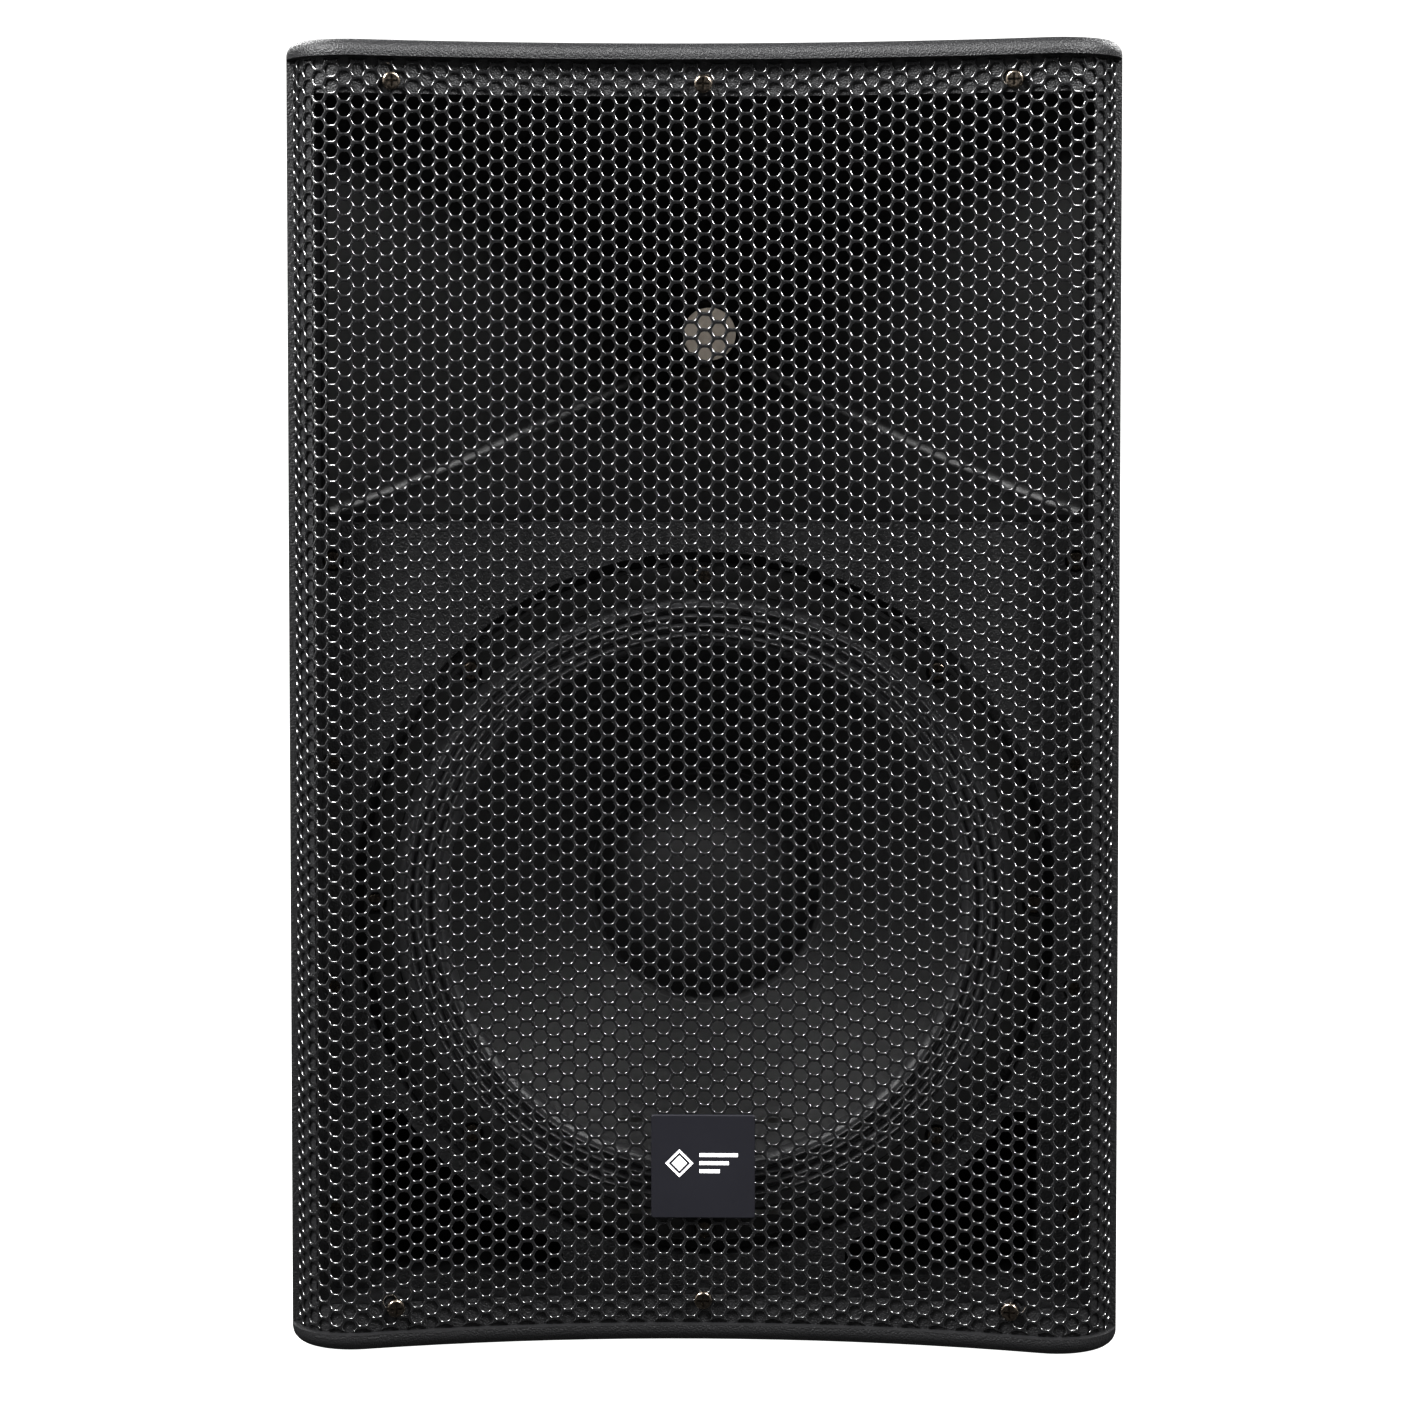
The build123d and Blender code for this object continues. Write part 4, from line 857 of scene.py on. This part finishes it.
cone_radii = [NECK_RADIUS + (cone_radius - NECK_RADIUS) * i / CONE_STEPS for i in range(CONE_STEPS + 1)]
cone_line = [(radius, cone_low.y + cone_depth(radius)) for radius in cone_radii]
cone_mesh = turned("woofer_cone_paper", skin(cone_line, CONE_SKIN), woofer_height, 180)
cone = place_piece("woofer_cone_paper", cone_mesh, cone_paper, "woofer_moving_assembly", "woofer_cone")

cap_edge_y = cone_low.y + cone_depth(CAP_RADIUS) - CAP_SINK
cap_ball = (CAP_RADIUS ** 2 + CAP_RISE ** 2) / (2 * CAP_RISE)
cap_half = math.asin(CAP_RADIUS / cap_ball)
cap_line = []
for i in range(CAP_STEPS + 1):
    turn = cap_half * i / CAP_STEPS
    cap_line.append((cap_ball * math.sin(turn), cap_edge_y - CAP_RISE + cap_ball * (1 - math.cos(turn))))
glue_radius = CAP_RADIUS + GLUE_WIDTH
cap_line.append((CAP_RADIUS + GLUE_WIDTH * 0.4, cap_edge_y - GLUE_RISE))
cap_line.append((glue_radius, cone_low.y + cone_depth(glue_radius) - GLUE_RISE))
cap_mesh = turned("woofer_dust_cap_felt", skin(cap_line, CAP_SKIN), woofer_height, 120)
cap = place_piece("woofer_dust_cap_felt", cap_mesh, cap_paper, "woofer_moving_assembly", "woofer_dust_cap")
print("cone radius", round(cone_radius * 1000, 1), "mm, cap radius", round(CAP_RADIUS * 1000, 1), "mm")

# %% [markdown]
# The edge and the spider are the two cloth springs of the driver: glued to the frame outside and to the cone
# or coil inside. They are part of both bodies, so they blend across the stroke. The blend runs along a line,
# and here it has to run along the radius, so the weights are written again from each point's own radius.

# %% Accordion edge and spider
EDGE_ROLLS = 4
EDGE_HEIGHT = 3.4 * MM
EDGE_CLOTH = 0.6 * MM
EDGE_FLANGE = 4.5 * MM
EDGE_OVERLAP = 2.5 * MM
EDGE_GLUE = 0.7 * MM
SPIDER_ROLLS = 6
SPIDER_HEIGHT = 2.8 * MM
SPIDER_CLOTH = 0.5 * MM


def rolled_line(inner, outer, y, rolls, rise):
    """A wave from the inner radius to the outer one, bulging to the front."""
    steps = rolls * 14
    line = []
    for i in range(steps + 1):
        share = i / steps
        line.append((inner + (outer - inner) * share, y - rise * math.sin(math.pi * rolls * share) ** 2))
    return line


def flex(piece, inner, outer, height):
    """Ties the outside of a ring to the cabinet and the inside to the moving assembly."""
    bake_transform(piece, "cabinet", "woofer_moving_assembly", start=(outer, 0, height), end=(inner, 0, height))
    weights = piece.data.attributes["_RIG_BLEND"].data
    for point, weight in zip(piece.data.vertices, weights):
        radius = math.hypot(point.co.x, point.co.z - height)
        share = min(1, max(0, (outer - radius) / (outer - inner)))
        weight.value = share * share * (3 - 2 * share)


def cloth_ring(name, line, cloth, material, stands_for):
    mesh = turned(name, skin(line, cloth), woofer_height, 180, 60)
    piece = in_scene(name, mesh)
    mesh.materials.append(material)
    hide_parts(stands_for)
    return piece


edge_outer = middle_of("woofer_surround")[1]
edge_flange = edge_outer - EDGE_FLANGE
edge_rest_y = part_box("woofer_surround")[1].y - EDGE_CLOTH - 0.2 * MM
edge_inner = cone_radius + 0.3 * MM
glued = cone_radius - EDGE_OVERLAP
edge_line = [(glued, cone_low.y + cone_depth(glued) - EDGE_GLUE)]
edge_line += rolled_line(edge_inner, edge_flange, edge_rest_y, EDGE_ROLLS, EDGE_HEIGHT)
edge_line.append((edge_outer, edge_rest_y))
edge = cloth_ring("woofer_accordion_edge", edge_line, EDGE_CLOTH, cloth_edge, "woofer_surround")
flex(edge, edge_inner, edge_flange, woofer_height)

spider_middle, spider_outer = middle_of("woofer_spider")
spider_y = spider_middle[1] + 1.2 * MM
spider_line = rolled_line(NECK_RADIUS, spider_outer, spider_y, SPIDER_ROLLS, SPIDER_HEIGHT)
spider = cloth_ring("woofer_spider_cloth", spider_line, SPIDER_CLOTH, spider_cloth,
                    "woofer_spider")
flex(spider, NECK_RADIUS + 2 * MM, spider_outer - 2 * MM, woofer_height)
print("edge from", round(edge_inner * 1000, 1), "to", round(edge_flange * 1000, 1), "mm")

# %% [markdown]
# ## Throat of the horn
# A thin pale mesh across the throat keeps dust out of the compression driver. From the front it is the
# lightest spot on the whole loudspeaker, a disc of woven wire that bulges very slightly.

# %% Throat screen
SCREEN_BULGE = 0.5 * MM
SCREEN_WIRE = 0.35 * MM

screen_middle, screen_radius = middle_of("throat_screen")
screen_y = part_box("throat_screen")[0].y
shares = [i / 12 for i in range(13)]
screen_line = [(screen_radius * share, screen_y - SCREEN_BULGE * (1 - share ** 2)) for share in shares]
screen_mesh = turned("throat_screen_mesh", skin(screen_line, SCREEN_WIRE), screen_middle[2], 72)
screen = place_piece("throat_screen_mesh", screen_mesh, throat_mesh, "cabinet", "throat_screen")
print("throat screen", round(2000 * screen_radius, 1), "mm across")

# %% [markdown]
# ## Badge
# The badge is a plain dark plate with a printed mark. The mark is only a pale diamond beside three bars, so
# it belongs to nobody. Flat shapes with a little thickness, a tenth of a millimetre of ink, are enough.

# %% Badge mark
INK_PROUD = 0.12 * MM
INK_BURIED = 0.05 * MM
DIAMOND_HALF = 6.2
DIAMOND_CORE = 0.55
DIAMOND_RIM = 0.78
DIAMOND_LEFT = 10.5 * MM
MARK_RISE = 1.5 * MM
BARS_LEFT = 1.6 * MM
BAR_LENGTHS = (17.0, 13.0, 9.0)
BAR_HEIGHT = 1.6 * MM
BAR_TOP = 2.9
BAR_STEP = 3.6


def slab(shape, outline, y_front, y_back):
    """A flat shape in the X-Z plane between two depths."""
    front = [shape.verts.new((x, y_front, z)) for x, z in outline]
    back = [shape.verts.new((x, y_back, z)) for x, z in outline]
    shape.faces.new(front)
    shape.faces.new(list(reversed(back)))
    for i in range(len(outline)):
        after = (i + 1) % len(outline)
        shape.faces.new((front[i], back[i], back[after], front[after]))


def upright(left, right, low, high):
    """The outline of a rectangle in the X-Z plane."""
    return [(left, low), (right, low), (right, high), (left, high)]


badge_x, _, badge_z = middle_of("badge")[0]
ink_front = front_middle_y - INK_PROUD
ink_back = front_middle_y + INK_BURIED
mark = bmesh.new()
diamond_x = badge_x - DIAMOND_LEFT
mark_z = badge_z + MARK_RISE
outer_ring = [(DIAMOND_HALF, 0), (0, DIAMOND_HALF), (-DIAMOND_HALF, 0), (0, -DIAMOND_HALF)]
core = MM * DIAMOND_CORE
slab(mark, [(diamond_x + x * core, mark_z + z * core) for x, z in outer_ring], ink_front, ink_back)
for i in range(4):
    a = outer_ring[i]
    b = outer_ring[(i + 1) % 4]
    band_outline = [a, b, shade(b, DIAMOND_RIM), shade(a, DIAMOND_RIM)]
    slab(mark, [(diamond_x + x * MM, mark_z + z * MM) for x, z in band_outline], ink_front, ink_back)
for i, bar_length in enumerate(BAR_LENGTHS):
    low_z = mark_z + (BAR_TOP - BAR_STEP * i) * MM
    left_x = badge_x - BARS_LEFT
    right_x = left_x + bar_length * MM
    slab(mark, upright(left_x, right_x, low_z, low_z + BAR_HEIGHT), ink_front, ink_back)
place_piece("badge_mark", mesh_from("badge_mark", mark), badge_ink, "cabinet")
print("badge mark printed")

# %% [markdown]
# ## Rear panel print
# Around each knob is a printed ring of eleven ticks, from seven o'clock to five o'clock. One tick is
# repeated by Geometry Nodes: points on an arc, each turned to face the centre.

# %% Dial ticks
TICKS = 11
TICK_SPREAD = 300.0
TICK_GAP = 2.2 * MM
TICK_LENGTH = 1.5 * MM
TICK_WIDTH = 0.4 * MM
TICK_INK = 0.12 * MM


def ticks_tree():
    tree, given = new_tree("dial ticks", {
        "Vector": ("Centre",), "Float": ("Radius", "Length", "Width", "Ink", "Spread"), "Int": ("Count",),
        "Material": ("Finish",)})
    index = step(tree, "GeometryNodeInputIndex").outputs[0]
    share = sums(tree, "DIVIDE", index, sums(tree, "SUBTRACT", given["Count"], 1.0))
    turn = sums(tree, "MULTIPLY", sums(tree, "SUBTRACT", share, 0.5), given["Spread"])
    across = sums(tree, "MULTIPLY", sums(tree, "SINE", turn), given["Radius"])
    up = sums(tree, "MULTIPLY", sums(tree, "COSINE", turn), given["Radius"])
    points = step(tree, "GeometryNodeMeshLine", {"Count": given["Count"]}).outputs["Mesh"]
    ring = moved(tree, points, vectors(tree, "ADD", spot_at(tree, across, 0.0, up), given["Centre"]))
    size = spot_at(tree, given["Width"], given["Ink"], given["Length"])
    tick = step(tree, "GeometryNodeMeshCube", {"Size": size}).outputs["Mesh"]
    feeds = {"Points": ring, "Instance": tick, "Rotation": spot_at(tree, 0.0, turn)}
    ticks = step(tree, "GeometryNodeInstanceOnPoints", feeds)
    close_tree(tree, ticks.outputs[0], given["Finish"])
    return tree


ink_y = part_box("amp_panel")[1].y + 0.03 * MM
tick_tree = ticks_tree()
KNOBS = ("mic_knob", "line_knob", "bass_knob", "treble_knob", "master_knob")
for knob_name in KNOBS:
    (x, _, z), radius = middle_of(knob_name)
    ticks = run_tree(knob_name + "_ticks", tick_tree, {
        "Centre": (x, ink_y, z), "Radius": radius + TICK_GAP,
        "Length": TICK_LENGTH, "Width": TICK_WIDTH, "Ink": TICK_INK, "Count": TICKS,
        "Spread": math.radians(TICK_SPREAD), "Finish": legend_white})
    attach(ticks, "cabinet")

# %% [markdown]
# The sockets below the knobs are grouped by printed brackets: the two inputs, the output and the line pair.

# %% Brackets under the sockets
BRACKET_RISE = 2.0 * MM
BRACKET_LINE = 0.5 * MM
BRACKET_GAP = 4.0 * MM
SOCKET_GROUPS = ("combo_sockets", "link_socket", "rca_sockets")

brackets = bmesh.new()
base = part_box("combo_sockets")[0].z - BRACKET_GAP
top_line = base + BRACKET_LINE
for socket_name in SOCKET_GROUPS:
    low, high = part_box(socket_name)
    left = low.x + 0.5 * MM
    right = high.x - 0.5 * MM
    for outline in (upright(left, right, base, top_line),
                    upright(left, left + BRACKET_LINE, top_line, base + BRACKET_RISE),
                    upright(right - BRACKET_LINE, right, top_line, base + BRACKET_RISE)):
        slab(brackets, outline, ink_y + 0.06 * MM, ink_y - 0.06 * MM)
place_piece("socket_brackets", mesh_from("socket_brackets", brackets), legend_white, "cabinet")
print(len(SOCKET_GROUPS), "brackets printed")

# %% [markdown]
# Each knob has a white line let into its face. The line rides on the knob's own body, so it turns with it.

# %% Pointers on the knobs
POINTER_HALF = 0.5 * MM
POINTER_FROM = 0.22
POINTER_TO = 0.74

for knob_name in KNOBS:
    (x, _, z), radius = middle_of(knob_name)
    face_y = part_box(knob_name)[1].y
    outline = upright(x - POINTER_HALF, x + POINTER_HALF, z + radius * POINTER_FROM, z + radius * POINTER_TO)
    pointer = bmesh.new()
    slab(pointer, outline, face_y + 0.05 * MM, face_y - 0.95 * MM)
    mesh = mesh_from(knob_name + "_pointer", pointer)
    place_piece(knob_name + "_pointer", mesh, legend_white, knob_name + "_body")
print("knobs marked")

# %% [markdown]
# ## Handle and feet
# The grip of the carrying handle is a bar with a soft ribbed sleeve. One rib, a thin band round the bar, is
# repeated along it.

# %% Ribs of the grip
RIB_COUNT = 15
RIB_PITCH = 8.0 * MM
RIB_WIDTH = 3.2 * MM
RIB_PROUD = 0.45 * MM
RIB_BURIED = 0.3 * MM
GRIP_ROUND = 6.0 * MM


def rounded_loop(half_y, half_z, radius, steps=4):
    """Points of a rounded rectangle in the Y-Z plane."""
    points = []
    for quarter, (sign_y, sign_z) in enumerate(((1, 1), (-1, 1), (-1, -1), (1, -1))):
        for i in range(steps):
            turn = math.radians(90 * (quarter + i / (steps - 1)))
            y = sign_y * (half_y - radius) + radius * math.cos(turn)
            z = sign_z * (half_z - radius) + radius * math.sin(turn)
            points.append((y, z))
    return points


def rib_mesh(half_y, half_z):
    """A band round the bar: wide where it is glued, narrower at its top."""
    shape = bmesh.new()
    loops = []
    for x, rise in ((-0.5, -RIB_BURIED), (-0.3, RIB_PROUD), (0.3, RIB_PROUD), (0.5, -RIB_BURIED)):
        outline = rounded_loop(half_y + rise, half_z + rise, GRIP_ROUND + rise)
        loops.append([shape.verts.new((x * RIB_WIDTH, y, z)) for y, z in outline])
    for near, far in zip(loops, loops[1:] + loops[:1]):
        for i in range(len(near)):
            after = (i + 1) % len(near)
            shape.faces.new((near[i], near[after], far[after], far[i]))
    return mesh_from("grip_rib", shape, 60)


def row_tree():
    """Repeats a rib along X about a centre."""
    tree, given = new_tree("row of ribs", {
        "Object": ("Rib",), "Int": ("Count",), "Float": ("Pitch",), "Vector": ("Centre",),
        "Material": ("Finish",)})
    gaps = sums(tree, "SUBTRACT", given["Count"], 1.0)
    first = sums(tree, "MULTIPLY", gaps, sums(tree, "MULTIPLY", given["Pitch"], -0.5))
    start = vectors(tree, "ADD", spot_at(tree, first), given["Centre"])
    feeds = {"Count": given["Count"], "Start Location": start, "Offset": spot_at(tree, given["Pitch"])}
    points = step(tree, "GeometryNodeMeshLine", feeds).outputs["Mesh"]
    close_tree(tree, repeated(tree, points, shape_of(tree, given["Rib"])), given["Finish"])
    return tree


grip_low, grip_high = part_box("top_handle_grip")
rib = in_scene("grip_rib", rib_mesh((grip_high.y - grip_low.y) / 2, (grip_high.z - grip_low.z) / 2))
ribs = run_tree("handle_grip_ribs", row_tree(), {
    "Rib": rib, "Count": RIB_COUNT, "Pitch": RIB_PITCH, "Centre": middle_of("top_handle_grip")[0],
    "Finish": handle_rubber})
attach(ribs, "cabinet")
bpy.data.objects.remove(rib)

# %% [markdown]
# The feet are moulded rubber discs with a rounded edge and a recess for their screw. One foot is turned on
# the lathe, and a tree sets it down at the four corners that the CAD feet mark.

# %% Feet
FOOT_STEPS = 40
FOOT_EDGE = 1.2 * MM
FOOT_DISH = 0.9 * MM
FOOT_RECESS = 3.2 * MM


def foot_mesh(radius, height):
    """A disc with a rounded lower edge, a flat ring to stand on and a recess for the screw."""
    line = [(0, height), (radius, height), (radius, FOOT_EDGE)]
    for i in range(1, 5):
        turn = math.radians(90 * i / 4)
        line.append((radius - FOOT_EDGE + FOOT_EDGE * math.cos(turn), FOOT_EDGE - FOOT_EDGE * math.sin(turn)))
    line += [(radius * 0.62, 0), (radius * 0.56, FOOT_DISH), (radius * 0.2, FOOT_DISH)]
    line += [(radius * 0.2, FOOT_RECESS), (0, FOOT_RECESS)]
    mesh = turned("rubber_foot", line, 0.0, FOOT_STEPS)
    mesh.transform(Matrix.Rotation(math.radians(90), 4, "X"))
    return mesh


def corners_tree():
    """Sets a foot down on every spot."""
    inputs = {"Object": ("Foot", "Spots"), "Material": ("Finish",)}
    tree, given = new_tree("feet on their spots", inputs)
    feet = repeated(tree, shape_of(tree, given["Spots"]), shape_of(tree, given["Foot"]))
    close_tree(tree, feet, given["Finish"])
    return tree


corner_points = {}
for point in nodes["rubber_feet"].data.vertices:
    corner_points.setdefault((point.co.x > 0, point.co.y > 0), []).append(point.co)
foot_centres = []
for group in corner_points.values():
    xs = [point.x for point in group]
    ys = [point.y for point in group]
    foot_centres.append(((min(xs) + max(xs)) / 2, (min(ys) + max(ys)) / 2, 0))
foot_radius = (max(xs) - min(xs)) / 2
spot_mesh = bpy.data.meshes.new("foot_spots")
spot_mesh.from_pydata(foot_centres, [], [])
spots = in_scene("foot_spots", spot_mesh)
foot = in_scene("rubber_foot", foot_mesh(foot_radius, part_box("rubber_feet")[1].z))
feet = run_tree("rubber_feet_moulded", corners_tree(), {"Foot": foot, "Spots": spots, "Finish": rubber_black})
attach(feet, "cabinet")
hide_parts("rubber_feet")
for helper in (foot, spots):
    bpy.data.objects.remove(helper)
print("feet at", [tuple(round(v * 1000) for v in centre) for centre in foot_centres])
